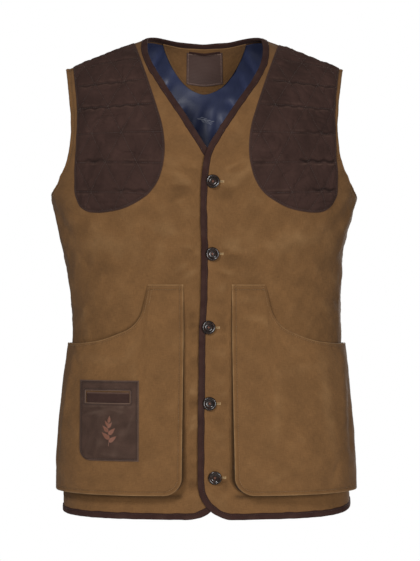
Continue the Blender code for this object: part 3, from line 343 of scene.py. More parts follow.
def form(face, a, v):
    """Points of the plain form: a is the angle round from the middle, plus to the wearer's
    left, and v is 0 at the hem, 1 at the chest line and 2 at the shoulder seam."""
    a, v = np.broadcast_arrays(np.asarray(a, float), np.asarray(v, float))
    hem, chest = levels(a)
    t = np.clip(v - 1, 0, 1)
    z = hem + (chest - hem) * np.minimum(v, 1)
    depth = smooth(SECTIONS[:, 0], SECTIONS[:, 3 if face < 0 else 4], z)
    back, up = bezier(lean(face), t)
    x = half_width(a, z, t) * power(np.sin(a), 2 / SQUARENESS)
    y = face * depth * power(np.cos(a), 2 / SQUARENESS) * back
    return np.stack([x, y, z + SHOULDER_RISE * up], -1)


def rise_to_v(face, a, z):
    t_table = np.linspace(0, 1, 400)
    hem, chest = levels(a)
    t = np.interp((z - chest) / SHOULDER_RISE, bezier(lean(face), t_table)[1], t_table)
    return np.where(z < chest, (z - hem) / (chest - hem), 1 + t), t, chest


def spot(face, x, z):
    """The a and v of the place that shows at x, z from the front or the back."""
    x, z = np.broadcast_arrays(np.asarray(x, float), np.asarray(z, float))
    width = np.full(x.shape, TOP_HALF_WIDTH)
    for _ in range(30):
        a = np.arcsin(np.clip(np.abs(x) / width, 0, 1) ** (SQUARENESS / 2)) * np.sign(x)
        v, t, chest = rise_to_v(face, a, z)
        width = half_width(a, np.minimum(z, chest), t)
    return a, v


NECK_A = float(spot(1, NECK_X, NECK_Z)[0])


def large_folds(table, a, z):
    height = np.zeros(np.shape(z))
    for degrees, middle, tilt, half_length, half_wide, rise in table:
        across = (a - radians(degrees)) * TOP_HALF_WIDTH * 0.85
        height = height + crease(across, z - middle, tilt, half_length, half_wide, rise)
    return height


def crease(across, up, tilt, half_length, half_wide, rise):
    turn = radians(tilt)
    along = across * cos(turn) + up * sin(turn)
    off = -across * sin(turn) + up * cos(turn)
    return rise * bell(along, half_length) * bell(off, half_wide)


def waves(across, up, seed, longest=0.075, shortest=0.018, count=26):
    """Small uneven waves, about 1 high at most."""
    rng = np.random.default_rng(seed)
    height = np.zeros(np.shape(up))
    for _ in range(count):
        size = shortest * (longest / shortest) ** rng.random()
        turn, phase = rng.random(2) * 2 * pi
        height = height + np.sin((across * cos(turn) + up * sin(turn)) * 2 * pi / size + phase)
    return height / sqrt(count)


ARC_ANGLES = np.linspace(0, pi / 2, 300)
ARC_LENGTHS = {face: lengths(form(face, ARC_ANGLES, 0.8)) for face in (-1, 1)}


def round_cloth(face, a):
    return np.sign(a) * np.interp(np.abs(a), ARC_ANGLES, ARC_LENGTHS[face])


def pocket_turn(side, degrees):
    return side * np.radians(degrees + side * POCKET_SHIFT * (1 - degrees / POCKET_TOP[-1, 0]))


def pocket_ends(side):
    """Angles of a pocket's inner and outer edge."""
    return pocket_turn(side, POCKET_TOP[0, 0]), pocket_turn(side, POCKET_TOP[-1, 0])


def pocket_mouth(a):
    """Height of a pocket's top edge at this angle."""
    side = np.where(a > 0, 1, -1)
    degrees = np.abs(np.degrees(a))
    full = POCKET_TOP[-1, 0]
    degrees = (degrees - side * POCKET_SHIFT) / (1 - side * POCKET_SHIFT / full)
    return np.where(
        degrees < POCKET_TOP[1, 0], POCKET_TOP[1, 1], smooth(POCKET_TOP[1:, 0], POCKET_TOP[1:, 1], degrees)
    )


def past_pocket_edge(a):
    """Degrees from the inner edge of the nearer pocket, above 0 under the pocket."""
    left, right = pocket_ends(1)[0], pocket_ends(-1)[0]
    return np.degrees(np.abs(a) - np.abs(np.where(a > 0, left, right)))


def strain(piece):
    """Short wrinkles that the buttons draw in the cloth beside them."""
    rng = np.random.default_rng(stage_settings().seed)
    rows = []
    for _, button_z in BUTTONS:
        for _ in range(9):
            reach = rng.uniform(0.022, 0.048) if piece == "over" else rng.uniform(-0.04, -0.016)
            rise = rng.uniform(-0.038, 0.03)
            tilt = np.degrees(np.arctan2(rise, abs(reach) + 0.03)) * np.copysign(0.8, reach)
            tilt = tilt + rng.uniform(-10, 10)
            height = rng.choice((-1, 1)) * rng.uniform(0.0005, 0.001)
            sizes = rng.uniform(0.01, 0.02), rng.uniform(0.002, 0.0034)
            rows.append((reach, button_z + rise, tilt, *sizes, height))
    return tuple(rows)


def small_relief(piece, a, z):
    """Creases and waves that only the fine cloth has. There are none under the pockets."""
    face = FACE[piece]
    across = round_cloth(face, a)
    height = cloth_settings().unevenness * waves(across, z, {"back": 3, "over": 4, "under": 5}[piece])
    found = BACK_CREASES if face > 0 else FRONT_CREASES + strain(piece)
    for start, middle, tilt, half_length, half_wide, rise in found:
        fold = crease(across - start, z - middle, tilt, half_length, half_wide * 1.6, rise)
        height = height + cloth_settings().creasing * fold
    if piece == "over":
        height = height * (1 - 0.5 * fade(across, 0.022, 0.036))
    if piece == "under":
        height = height * fade(across, -0.014, 0.0)
    if face < 0:
        mouth = pocket_mouth(a)
        covered = fade(z, mouth - 0.004, mouth + 0.012) * (1 - fade(past_pocket_edge(a), -2.8, -1.4))
        height = height * (1 - covered)
    return height


def worn(piece, a, v, fine=True):
    """Points of the outside of a front or the back, with its folds."""
    face = FACE[piece]
    plain = form(face, a, v)
    step = 1e-4
    across = form(face, a + step, v) - form(face, a - step, v)
    up = form(face, a, np.minimum(v + step, 2)) - form(face, a, v - step)
    out = unit(np.cross(across, up)) * -face
    rise = large_folds(BACK_FOLDS if face > 0 else FRONT_FOLDS, a, plain[..., 2])
    if fine:
        rise = rise + small_relief(piece, a, plain[..., 2])
    points = plain + out * rise[..., None]
    if piece == "over":
        lifted = fade(plain[..., 0], LIFT_FULL_X, LIFT_END_X) * fade(plain[..., 2], LIFT_FULL_Z, LIFT_END_Z)
        points[..., 1] -= OVERLAP_LIFT * lifted
    return points


def cloth(piece, a, v, fine=True):
    """Points and normals of the outside. Along a seam the normals lie in it, and the cloth
    reaches a little past it, so that no light shows through."""
    a, v = np.broadcast_arrays(np.asarray(a, float), np.asarray(v, float))
    face = FACE[piece]
    points = worn(piece, a, v, fine)
    step = 4e-4  # of an angle and of v, to find the cloth's slope
    across = worn(piece, a + step, v, fine) - worn(piece, a - step, v, fine)
    up = worn(piece, a, np.minimum(v + step, 2), fine) - worn(piece, a, v - step, fine)
    normals = unit(np.cross(across, up)) * -face
    at_seam = (np.abs(a) > pi / 2 - 1e-6) | (v > 2 - 1e-6)
    normals[..., 1] = np.where(at_seam, 0.0, normals[..., 1])
    points[..., 1] = np.where(at_seam, -face * SEAM / 2, points[..., 1])
    return points, unit(normals)


def placed(line, face, wanted):
    run = lengths(form(face, *line.T))
    wanted = np.asarray(wanted)
    return np.stack([np.interp(wanted, run, line[:, 0]), np.interp(wanted, run, line[:, 1])], -1)


def spread(curve, face, shares):
    """Places at these shares of the length of a soft curve through (a, v) rows."""
    knots = np.arange(len(curve), dtype=float)
    fine = np.linspace(0, len(curve) - 1, 40 * len(curve))
    line = np.stack([smooth(knots, curve[:, 0], fine), smooth(knots, curve[:, 1], fine)], -1)
    return placed(line, face, np.asarray(shares) * lengths(form(face, *line.T))[-1])


def even(start, end, spacing):
    return np.linspace(start, end, max(2, int(round((end - start) / spacing)) + 1))


def to_rings(length, spacing):
    """Distances along a line that come closer together at its far end."""
    return np.concatenate([even(0, length - RINGS[-1], spacing)[:-1], length - RINGS[::-1]])


def armhole(table, side, face):
    a = np.radians(table[:, 0])
    v = rise_to_v(face, side * a, table[:, 1])[0]
    v[-1] = 2
    return np.stack([side * a, v], -1)


def edge_x(piece, z):
    table = OVER_EDGE if piece == "over" else UNDER_EDGE
    side = SIDE[piece]
    return smooth(*table.T, z) + side * BINDING_OVER * 1.1


def round_corner(across, up, radius):
    """Bends a square corner's grid into a round one whose rings stay parallel to its edge."""
    level = np.minimum(across, up)
    most = np.maximum(across, up)
    reach = np.maximum(radius - level, 1e-9)
    swing = pi / 4 * (1 - np.clip((most - level) / reach, 0, 1))
    far = radius - reach * np.sin(swing)
    near = radius - reach * np.cos(swing)
    bent = most < radius
    first = np.where(across >= up, far, near)
    second = np.where(across >= up, near, far)
    return np.where(bent, first, across), np.where(bent, second, up)


def on_seam(side, z):
    """The a and v of heights on a side seam."""
    hem, chest = levels(side * pi / 2)
    return np.stack([np.full_like(z, side * pi / 2), (z - hem) / (chest - hem)], -1)


def front_grid(piece, spacing):
    """The a and v of a front's points, and their distances to its outer edge and shoulder."""
    side = SIDE[piece]
    hem_z = HEM_Z + BINDING_OVER
    steps = np.concatenate([RINGS, even(RINGS[-1], HEM_CORNER, spacing)[1:]])
    outer_z = even(hem_z + HEM_CORNER, FRONT_ARMHOLE[0, 1], spacing)[1:]
    inner_z = np.linspace(hem_z + HEM_CORNER, -0.21, len(outer_z) + 1)[1:]
    heights = np.concatenate([hem_z + steps, inner_z])
    outer = on_seam(side, np.concatenate([levels(side * pi / 2)[0] + BINDING_OVER + steps, outer_z]))
    neck_z = np.linspace(-0.21, NECK_Z, 60)
    neck = np.stack(spot(-1, edge_x(piece, neck_z), neck_z), -1)
    neck[-1, 1] = 2
    shares = to_rings(0.235, spacing)[1:] / 0.235
    low = np.stack(spot(-1, edge_x(piece, heights), heights), -1)
    starts = np.concatenate([low, spread(neck, -1, shares)])
    ends = np.concatenate([outer, spread(armhole(FRONT_ARMHOLE, side, -1), -1, shares)])
    tangents = unit(np.gradient(form(-1, *starts.T), axis=0))
    rest = int(0.262 / spacing)
    low_rows = len(heights)
    rows, to_side = [], []
    fine = np.linspace(0, 1, 260)[:, None]
    for j, (start, end) in enumerate(zip(starts, ends)):
        line = start + (end - start) * fine
        run = lengths(form(-1, *line.T))[-1]
        ahead = form(-1, line[[0, 4], 0], line[[0, 4], 1])
        slant = float(unit(ahead[1] - ahead[0]) @ tangents[j])
        first = RINGS / sqrt(max(1 - slant ** 2, 0.3))
        ends_at = run - RINGS[::-1]
        corner = max(HEM_CORNER, first[-1] + 0.004)
        inner_steps = len(steps) - len(RINGS)
        steady = np.concatenate([
            np.linspace(first[-1], corner, inner_steps + 1)[1:],
            np.linspace(corner, ends_at[0], rest - inner_steps + 1)[1:-1],
        ])
        level = np.linspace(first[-1], ends_at[0], rest + 1)[1:-1]
        share = max(0, j - low_rows + 1) / len(shares)
        share = share * share * (3 - 2 * share)
        wanted = np.concatenate([first, (1 - share) * steady + share * level, ends_at])
        rows.append(placed(line, -1, wanted))
        to_side.append(run - wanted)
    grid = np.array(rows)
    across, up = np.meshgrid(steps, steps)
    out, high = round_corner(across, up, HEM_CORNER)
    z = hem_z + high
    count = len(steps)
    grid[:count, :count] = np.stack(spot(-1, edge_x(piece, z) + side * out, z), -1)
    to_top = np.full(len(starts), 1.0)
    to_top[low_rows:] = 0.225 * (1 - shares)
    return grid[..., 0], grid[..., 1], np.array(to_side), np.broadcast_to(to_top[:, None], grid.shape[:2])


def neck_top(a):
    return 2 - NECK_DIP * (1 - np.clip(np.abs(a) / NECK_A, 0, 1) ** NECK_ROUND)


def back_grid(spacing):
    """The a and v of the back's points, and their distances to the sides and the top."""
    neck_a = np.arcsin((NECK_X / TOP_HALF_WIDTH) ** (SQUARENESS / 2))
    heights = np.concatenate([
        HEM_Z + BINDING_OVER + RINGS, even(HEM_Z + BINDING_OVER + RINGS[-1], BACK_ARMHOLE[0, 1], spacing)[1:]
    ])
    shares = to_rings(0.215, spacing)[1:] / 0.215
    inner = int(0.11 / spacing)
    outer = int(0.2 / spacing)
    halves, sides = [], []
    for side in (-1, 1):
        lift = (heights - HEM_Z) / (BACK_ARMHOLE[0, 1] - HEM_Z)
        low = on_seam(side, heights + (levels(side * pi / 2)[0] - HEM_Z) * (1 - lift))
        ends = np.concatenate([low, spread(armhole(BACK_ARMHOLE, side, 1), 1, shares)])
        hem, chest = levels(0.0)
        middle = (heights - hem) / (chest - hem)
        starts = np.concatenate([middle, middle[-1] + (2 - middle[-1]) * shares])
        high = np.concatenate([np.zeros(len(heights)), shares])
        rows, gaps = [], []
        for start, end, up in zip(starts, ends, high):
            share = np.linspace(0, 1, 300)
            a = end[0] * share
            line = np.stack([a, start + (end[1] - start) * share - up ** 2 * (2 - neck_top(a))], -1)
            run = lengths(form(1, *line.T))
            turn = np.interp(neck_a, np.abs(a), run)
            wanted = np.concatenate([
                np.linspace(0, turn, inner + 1), np.linspace(turn, run[-1] - RINGS[-1], outer + 1)[1:-1],
                run[-1] - RINGS[::-1],
            ])
            rows.append(placed(line, 1, wanted))
            gaps.append(run[-1] - wanted)
        halves.append(np.array(rows))
        sides.append(np.array(gaps))
    grid = np.concatenate([halves[0][:, ::-1][:, :-1], halves[1]], axis=1)
    to_side = np.concatenate([sides[0][:, ::-1][:, :-1], sides[1]], axis=1)
    to_top = np.where(high > 0, 0.21 * (1 - high), 1.0)
    return grid[..., 0], grid[..., 1], to_side, np.broadcast_to(to_top[:, None], to_side.shape)


def sewn_edge(distance, stitched=0.0063):
    """Height of a turned and stitched edge: it dives at the edge, swells, and dips at the stitching."""
    return 0.0004 * bell(distance - 0.0022, 0.002) - 0.0006 * bell(distance, 0.0009) - 0.0008 * bell(
        distance - stitched, 0.001
    )


def slopes_of(face, a, v):
    step = 1e-4
    across = (form(face, a + step, v) - form(face, a - step, v)) / (2 * step)
    return across, (form(face, a, v) - form(face, a, v - step)) / step


def washed(relief):
    """Marks of creased cloth: its ridges are paler, partly from washing and partly as painted highlight, and
    its valleys get painted shade.
    """
    return np.clip(relief / 0.007, -0.4, 0.3)


def rubbed(distance, stitched, strength):
    """Marks of a sewn edge: above 0 where it is rubbed pale, below 0 painted shade in the stitching's groove.
    """
    return strength * bell(distance - 0.0003, 0.0009) - 0.55 * bell(distance - stitched, 0.0009)


def inset(face, curve, distance, towards):
    """A curve of (a, v) rows moved across the cloth, to the side on which towards lies."""
    a, v = curve[:, 0].copy(), curve[:, 1].copy()
    p = form(face, a, v)
    da, dv = slopes_of(face, a, v)
    along = np.gradient(p, axis=0)
    for _ in range(3):
        along[1:-1] = (along[:-2] + 2 * along[1:-1] + along[2:]) / 4
    across = unit(np.cross(np.cross(da, dv), unit(along)))
    across *= np.sign(((form(face, *towards) - p) * across).sum())
    aim = p + across * np.asarray(distance).reshape(-1, 1)
    for _ in range(5):
        da, dv = slopes_of(face, a, v)
        miss = aim - form(face, a, v)
        g = [(u * w).sum(-1) for u, w in ((da, da), (da, dv), (dv, dv), (miss, da), (miss, dv))]
        det = g[0] * g[2] - g[1] ** 2
        a += (g[3] * g[2] - g[4] * g[1]) / det
        v = np.minimum(v + (g[4] * g[0] - g[3] * g[1]) / det, 2)
    return np.stack([a, v], -1)


def evenly(curve, face, spacing):
    """The same line with points this far apart."""
    run = lengths(form(face, *curve.T))
    return placed(curve, face, even(0, run[-1], spacing))


# Meshes

def grid_faces(rows, columns):
    corner = np.arange(rows * columns).reshape(rows, columns)[:-1, :-1].reshape(-1)
    return np.stack([corner, corner + 1, corner + columns + 1, corner + columns], -1)


def dress(mesh, uv, wear_and_painted_light, finishes):
    """Gives a mesh its place on the cloth and its rubbing and painted light, both by point, and its finishes.
    """
    loops = np.empty(len(mesh.loops), np.int32)
    mesh.loops.foreach_get("vertex_index", loops)
    layer = mesh.uv_layers.new(name="cloth")
    layer.data.foreach_set("uv", uv[loops].astype(np.float32).reshape(-1))
    # Per point: above 0 paler from rubbing and painted highlight, below 0 painted shade
    rubbing = mesh.attributes.new("wear_and_painted_light", "FLOAT", "POINT")
    rubbing.data.foreach_set("value", np.broadcast_to(np.ravel(wear_and_painted_light), len(uv)).astype(np.float32))
    for finish in finishes:
        mesh.materials.append(finish)
    mesh.shade_smooth()
    mesh.set_sharp_from_angle(angle=radians(62))


def shell(name, node, slot, outer, inner, uv, finish, wear_and_painted_light=0.0, inside=None, faces=None):
    """A closed thin piece between two sheets of points, which are grids or share these faces.
    The inside can have a finish of its own."""
    faces = grid_faces(*outer.shape[:2]) if faces is None else faces
    outer, inner = np.reshape(outer, (-1, 3)), np.reshape(inner, (-1, 3))
    corners = outer[faces]
    out = np.cross(corners[:, 1] - corners[:, 0], corners[:, 2] - corners[:, 0])
    if (out * (outer - inner)[faces[:, 0]]).sum() < 0:
        faces = faces[:, ::-1]
    count = len(outer)
    starts, ends = faces.reshape(-1), np.roll(faces, -1, axis=1).reshape(-1)
    forward = starts * count + ends
    free = ~np.isin(forward, ends * count + starts)
    rim = np.stack([ends[free], starts[free], starts[free] + count, ends[free] + count], -1)
    everything = faces.tolist() + (faces[:, ::-1] + count).tolist() + rim.tolist()
    mesh = bpy.data.meshes.new(name)
    mesh.from_pydata(np.concatenate([outer, inner]).tolist(), [], everything)
    wear_and_painted_light = np.broadcast_to(np.ravel(wear_and_painted_light), count)
    finishes = (finish, inside) if inside else (finish,)
    dress(mesh, np.concatenate([np.reshape(uv, (-1, 2))] * 2), np.concatenate([wear_and_painted_light, wear_and_painted_light]), finishes)
    if inside:
        slots = np.zeros(len(everything), np.int32)
        slots[len(faces):2 * len(faces)] = 1
        mesh.polygons.foreach_set("material_index", slots)
    mesh.update()
    return ready(linked(name, mesh), node)


def linked(name, data):
    made = bpy.data.objects.new(name, data)
    bpy.context.scene.collection.objects.link(made)
    return made


def cloth_uv(points):
    """Distances across and up the cloth, in metres, for a grid of points."""
    across = np.stack([lengths(row) for row in points])
    up = np.stack([lengths(column) for column in points.swapaxes(0, 1)], 1)
    return np.stack([across, up], -1)


def swept(name, node, profiles, finish, wear_and_painted_light=0.0):
    """A closed bar from rows of closed profiles, capped at both ends."""
    rows, count = profiles.shape[:2]
    start = np.arange(rows - 1)[:, None] * count
    k = np.arange(count)
    beside = np.roll(k, -1)
    quads = np.stack([start + k, start + beside, start + count + beside, start + count + k], -1)
    faces = quads.reshape(-1, 4).tolist() + [list(k[::-1]), [int((rows - 1) * count + i) for i in k]]
    faces = [[int(i) for i in face] for face in faces]
    mesh = bpy.data.meshes.new(name)
    mesh.from_pydata(profiles.reshape(-1, 3).tolist(), [], faces)
    shape = bmesh.new()
    shape.from_mesh(mesh)
    bmesh.ops.recalc_face_normals(shape, faces=shape.faces)
    shape.to_mesh(mesh)
    shape.free()
    along = np.repeat(lengths(profiles[:, 0]), count)
    around = np.tile(lengths(profiles[0]), rows)
    dress(mesh, np.stack([along, around], -1), wear_and_painted_light, (finish,))
    return ready(linked(name, mesh), node)


def declare_sheet(piece, grid):
    """Works out the longest row and column of a grid of points, and keeps neither."""
    width, length = (float(most) for most in cloth_uv(grid).max(axis=(0, 1)))


def ready(piece, node):
    """The piece rides on the garment and hides the solid that it stands for."""
    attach(piece, "root")
    if node:
        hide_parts(node)
    return piece


# Thread: rows of stitches along paths, and single strokes

def add(tree, kind, inputs=(), **settings):
    """A node with its settings, and its inputs as values, sockets or nodes' first outputs. A
    shader's nodes go by their short names."""
    node = tree.nodes.new(kind if "Node" in kind else "ShaderNode" + kind)
    for key, value in settings.items():
        setattr(node, key, value)
    for socket, value in dict(inputs).items():
        if isinstance(value, (bpy.types.Node, bpy.types.NodeSocket)):
            tree.links.new(getattr(value, "outputs", (value,))[0], node.inputs[socket])
        else:
            node.inputs[socket].default_value = value
    return node


def new_tree(name, sockets):
    """A tree for geometry, with its other inputs by name and kind."""
    tree = bpy.data.node_groups.new(name, "GeometryNodeTree")
    for label, kind in {"Geometry": "Geometry", **sockets}.items():
        tree.interface.new_socket(label, in_out="INPUT", socket_type="NodeSocket" + kind)
    tree.interface.new_socket("Geometry", in_out="OUTPUT", socket_type="NodeSocketGeometry")
    return tree, tree.nodes.new("NodeGroupInput").outputs


def ended(tree, made, finish):
    """The tree, with its end: real and smooth geometry in this finish."""
    real = add(tree, "GeometryNodeRealizeInstances", {0: made})
    soft = add(tree, "GeometryNodeSetShadeSmooth", {0: real})
    done = add(tree, "GeometryNodeSetMaterial", {"Geometry": soft, "Material": finish})
    add(tree, "NodeGroupOutput", {0: done})
    return tree


@cache
def stitch_rows_tree():
    """Stitches of one length laid end to end along each path."""
    sockets = {"Pitch": "Float", "Length": "Float", "Width": "Float", "Seed": "Int", "Finish": "Material"}
    tree, given = new_tree("stitch rows", sockets)
    curve = add(tree, "GeometryNodeMeshToCurve", {"Mesh": given["Geometry"]})
    points = add(tree, "GeometryNodeResampleCurve", {"Curve": curve, "Length": given["Pitch"]}, mode="LENGTH")
    up = add(tree, "GeometryNodeInputNamedAttribute", {"Name": "up"}, data_type="FLOAT_VECTOR")
    along = add(tree, "GeometryNodeInputTangent")
    turned = add(tree, "FunctionNodeAlignRotationToVector", {"Vector": along}, axis="X")
    facing = {"Rotation": turned, "Vector": up}
    raised = add(tree, "FunctionNodeAlignRotationToVector", facing, axis="Z", pivot_axis="X")
    slip = add(tree, "FunctionNodeRandomValue", {2: 0.88, 3: 1.06, "Seed": given["Seed"]}, data_type="FLOAT")
    long = add(tree, "Math", {0: given["Length"], 1: slip.outputs[1]}, operation="MULTIPLY")
    size = add(tree, "CombineXYZ", {0: long, 1: given["Width"], 2: given["Width"]})
    stitch = add(tree, "GeometryNodeMeshUVSphere", {"Segments": 6, "Rings": 4, "Radius": 0.5})
    sewn = {"Points": points, "Instance": stitch, "Rotation": raised, "Scale": size}
    laid = add(tree, "GeometryNodeInstanceOnPoints", sewn)
    return ended(tree, laid, given["Finish"])


@cache
def thread_strokes_tree():
    """One round thread along each path."""
    tree, given = new_tree("thread strokes", {"Thickness": "Float", "Finish": "Material"})
    curve = add(tree, "GeometryNodeMeshToCurve", {"Mesh": given["Geometry"]})
    half = add(tree, "Math", {0: given["Thickness"], 1: 0.5}, operation="MULTIPLY")
    ring = add(tree, "GeometryNodeCurvePrimitiveCircle", {"Resolution": 5, "Radius": half})
    thread = add(tree, "GeometryNodeCurveToMesh", {"Curve": curve, "Profile Curve": ring, "Fill Caps": True})
    return ended(tree, thread, given["Finish"])


def threads(name, paths, tree, slot, **values):
    """A mesh of thread along paths of (points, normals), made by one of the trees."""
    points, ups, edges = [], [], []
    for path, normals in paths:
        first = len(points)
        points += np.asarray(path).tolist()
        ups += np.asarray(normals).tolist()
        edges += [(first + k, first + k + 1) for k in range(len(path) - 1)]
    guide = bpy.data.meshes.new(name)
    guide.from_pydata(points, edges, [])
    up = guide.attributes.new("up", "FLOAT_VECTOR", "POINT")
    up.data.foreach_set("vector", np.array(ups, np.float32).reshape(-1))
    carrier = linked(name, guide)
    nodes = carrier.modifiers.new("thread", "NODES")
    nodes.node_group = tree
    named = {item.name: item.identifier for item in tree.interface.items_tree if item.in_out == "INPUT"}
    for label, value in values.items():
        nodes[named[label]] = value
    graph = bpy.context.evaluated_depsgraph_get()
    made = bpy.data.meshes.new_from_object(carrier.evaluated_get(graph))
    bpy.data.objects.remove(carrier)
    bpy.data.meshes.remove(guide)
    return ready(linked(name, made), None)


def stitches(name, paths, finish, slot, pitch=None, width=0.00055):
    pitch = pitch or cloth_settings().pitch
    return threads(name, paths, stitch_rows_tree(), slot, Pitch=pitch, Length=pitch * 0.78, Width=width,
                   Seed=stage_settings().seed, Finish=finish)


def strokes(name, paths, finish, slot, thickness):
    return threads(name, paths, thread_strokes_tree(), slot, Thickness=thickness, Finish=finish)


# Finishes

def blank(name, **settings):
    """A new material, its tree and its shader, with the shader's own sockets set."""
    finish = bpy.data.materials.new(name)
    finish.use_nodes = True
    tree = finish.node_tree
    shader = tree.nodes["Principled BSDF"]
    for socket, value in settings.items():
        shader.inputs[socket.replace("_", " ")].default_value = value
    return finish, tree, shader


def varied(tree, colour, *patterns):
    """The colour made darker and lighter by patterns, each with its range and the shades there."""
    shade = 1.0
    for pattern, low, high, dark, light in patterns:
        part = add(tree, "MapRange", {0: pattern, 1: low, 2: high, 3: dark, 4: light})
        shade = add(tree, "Math", {0: shade, 1: part}, operation="MULTIPLY")
    return add(tree, "VectorMath", {0: colour[:3], "Scale": shade}, operation="SCALE")


@cache
def canvas_finish():
    """Washed cotton canvas, plain weave: matt, with slubby yarns both ways, uneven garment
    dye, paler edges where it has rubbed, crease ridges paler partly from washing and partly as
    painted highlight, and painted shade in grooves, crease valleys, gussets and under the
    pockets. The yarns are really 0.5 mm apart and are drawn at 1 mm, so that they show."""
    settings = cloth_settings()
    finish, tree, shader = blank(
        "washed_cotton_canvas", Roughness=0.9, Sheen_Weight=0.05, Sheen_Roughness=0.5, Specular_IOR_Level=0.2
    )
    place = add(tree, "UVMap", uv_map="cloth")
    warp = add(tree, "Mapping", {0: place, "Scale": (1000, 120, 1)})
    weft = add(tree, "Mapping", {0: place, "Scale": (120, 1000, 1), "Location": (5, 9, 0)})
    warp_yarn = add(tree, "TexNoise", {"Vector": warp, "Scale": 1, "Detail": 3, "Roughness": 0.6})
    weft_yarn = add(tree, "TexNoise", {"Vector": weft, "Scale": 1, "Detail": 3, "Roughness": 0.6})
    yarns = add(tree, "Math", {0: warp_yarn, 1: weft_yarn}, operation="ADD")
    cloud = add(tree, "TexNoise", {"Vector": place, "Scale": 22, "Detail": 4, "Roughness": 0.55})
    crumple = add(tree, "TexNoise", {"Vector": place, "Scale": 55, "Detail": 4, "Roughness": 0.6})
    wear_and_painted_light = add(tree, "Attribute", attribute_name="wear_and_painted_light").outputs["Fac"]
    # Below 0 the point value darkens the canvas as painted shade
    dyed = varied(
        tree, settings.canvas, (yarns, 0.7, 1.3, 0.84, 1.16), (cloud, 0.3, 0.7, 0.88, 1.12),
        (crumple, 0.3, 0.7, 0.95, 1.05), (wear_and_painted_light, -1.3, 0.0, 0.25, 1.0),
    )
    # Paler towards the worn colour where edges are rubbed, and on crease ridges partly as painted highlight
    patchy = add(tree, "MapRange", {0: cloud, 1: 0.35, 2: 0.62, 3: 0.25, 4: 0.9})
    pale = add(tree, "Math", {0: wear_and_painted_light, 1: patchy}, operation="MULTIPLY")
    pale = add(tree, "Math", {0: pale, 1: 0.0}, operation="MAXIMUM")
    colour = add(tree, "Mix", {"Factor": pale, 6: dyed, 7: settings.canvas_worn_and_highlight}, data_type="RGBA")
    tree.links.new(colour.outputs[2], shader.inputs["Base Color"])
    soft = add(tree, "Bump", {"Height": crumple, "Distance": 0.0032, "Strength": 0.6})
    bump = add(tree, "Bump", {"Height": yarns, "Distance": 0.00035, "Strength": 0.55, "Normal": soft})
    tree.links.new(bump.outputs[0], shader.inputs["Normal"])
    return finish


def napped_finish(name, colour, cloud_scale, contrast, sheen, worn="7A6052"):
    """Leather with a raised nap: very matt, lighter where the nap is brushed the other way,
    with a soft glow at its edges, paler where it is rubbed and where highlight is painted,
    and darker where shade is painted. The nap's grain is drawn at 1.5 mm so that it shows."""
    finish, tree, shader = blank(
        name, Roughness=0.95, Sheen_Weight=sheen, Sheen_Roughness=0.35, Specular_IOR_Level=0.2
    )
    shader.inputs["Sheen Tint"].default_value = tone("8A6F63")
    place = add(tree, "TexCoord").outputs["Object"]
    sizes = {"Scale": cloud_scale, "Detail": 5, "Roughness": 0.6, "Distortion": 0.6}
    brushed = add(tree, "TexNoise", {"Vector": place, **sizes})
    grain = add(tree, "TexNoise", {"Vector": place, "Scale": 650, "Detail": 3, "Roughness": 0.7})
    wear_and_painted_light = add(tree, "Attribute", attribute_name="wear_and_painted_light").outputs["Fac"]
    # Below 0 the point value darkens the leather as painted shade; above 0 it pales it for rubbing and painted
    # highlight
    dyed = varied(
        tree, colour, (brushed, 0.3, 0.7, 1 - contrast, 1 + contrast), (grain, 0.3, 0.7, 0.88, 1.12),
        (wear_and_painted_light, -1.0, 0.0, 0.4, 1.0),
    )
    pale = add(tree, "MapRange", {0: wear_and_painted_light, 1: 0.0, 2: 1.0, 3: 0.0, 4: 1.0})
    mixed = add(tree, "Mix", {"Factor": pale, 6: dyed, 7: tone(worn)}, data_type="RGBA")
    tree.links.new(mixed.outputs[2], shader.inputs["Base Color"])
    height = add(tree, "Math", {0: grain, 1: brushed}, operation="ADD")
    bump = add(tree, "Bump", {"Height": height, "Distance": 0.0004, "Strength": 0.5})
    tree.links.new(bump.outputs[0], shader.inputs["Normal"])
    return finish


@cache
def satin_finish():
    """Polyester satin: long floating yarns lie flat side by side, so it shines across folds. Its folds get
    painted highlight on their crests and painted shade in their hollows.
    """
    finish, tree, shader = blank(
        "polyester_satin", Roughness=0.42, Sheen_Weight=0.25, Sheen_Roughness=0.3, Specular_IOR_Level=0.55
    )
    shader.inputs["Sheen Tint"].default_value = tone("8FA0D8")
    place = add(tree, "UVMap", uv_map="cloth")
    float_yarn = add(tree, "Mapping", {0: place, "Scale": (900, 60, 1)})
    yarn = add(tree, "TexNoise", {"Vector": float_yarn, "Scale": 1.0, "Detail": 2.0})
    wear_and_painted_light = add(tree, "Attribute", attribute_name="wear_and_painted_light").outputs["Fac"]
    dyed = varied(tree, cloth_settings().satin, (yarn, 0.3, 0.7, 0.88, 1.12), (wear_and_painted_light, -1.0, 1.0, 0.72, 1.25))
    tree.links.new(dyed.outputs[0], shader.inputs["Base Color"])
    bump = add(tree, "Bump", {"Height": yarn, "Distance": 0.0002, "Strength": 0.35})
    tree.links.new(bump.outputs[0], shader.inputs["Normal"])
    return finish


def thread_finish(name, colour, roughness=0.7):
    """Spun polyester thread: twisted plies, drawn as bands across the thread."""
    finish, tree, shader = blank(name, Roughness=roughness, Sheen_Weight=0.2)
    place = add(tree, "TexCoord").outputs["Object"]
    plies = add(tree, "TexNoise", {"Vector": place, "Scale": 1400.0, "Detail": 1.0})
    dyed = varied(tree, colour, (plies, 0.3, 0.7, 0.82, 1.18))
    tree.links.new(dyed.outputs[0], shader.inputs["Base Color"])
    return finish


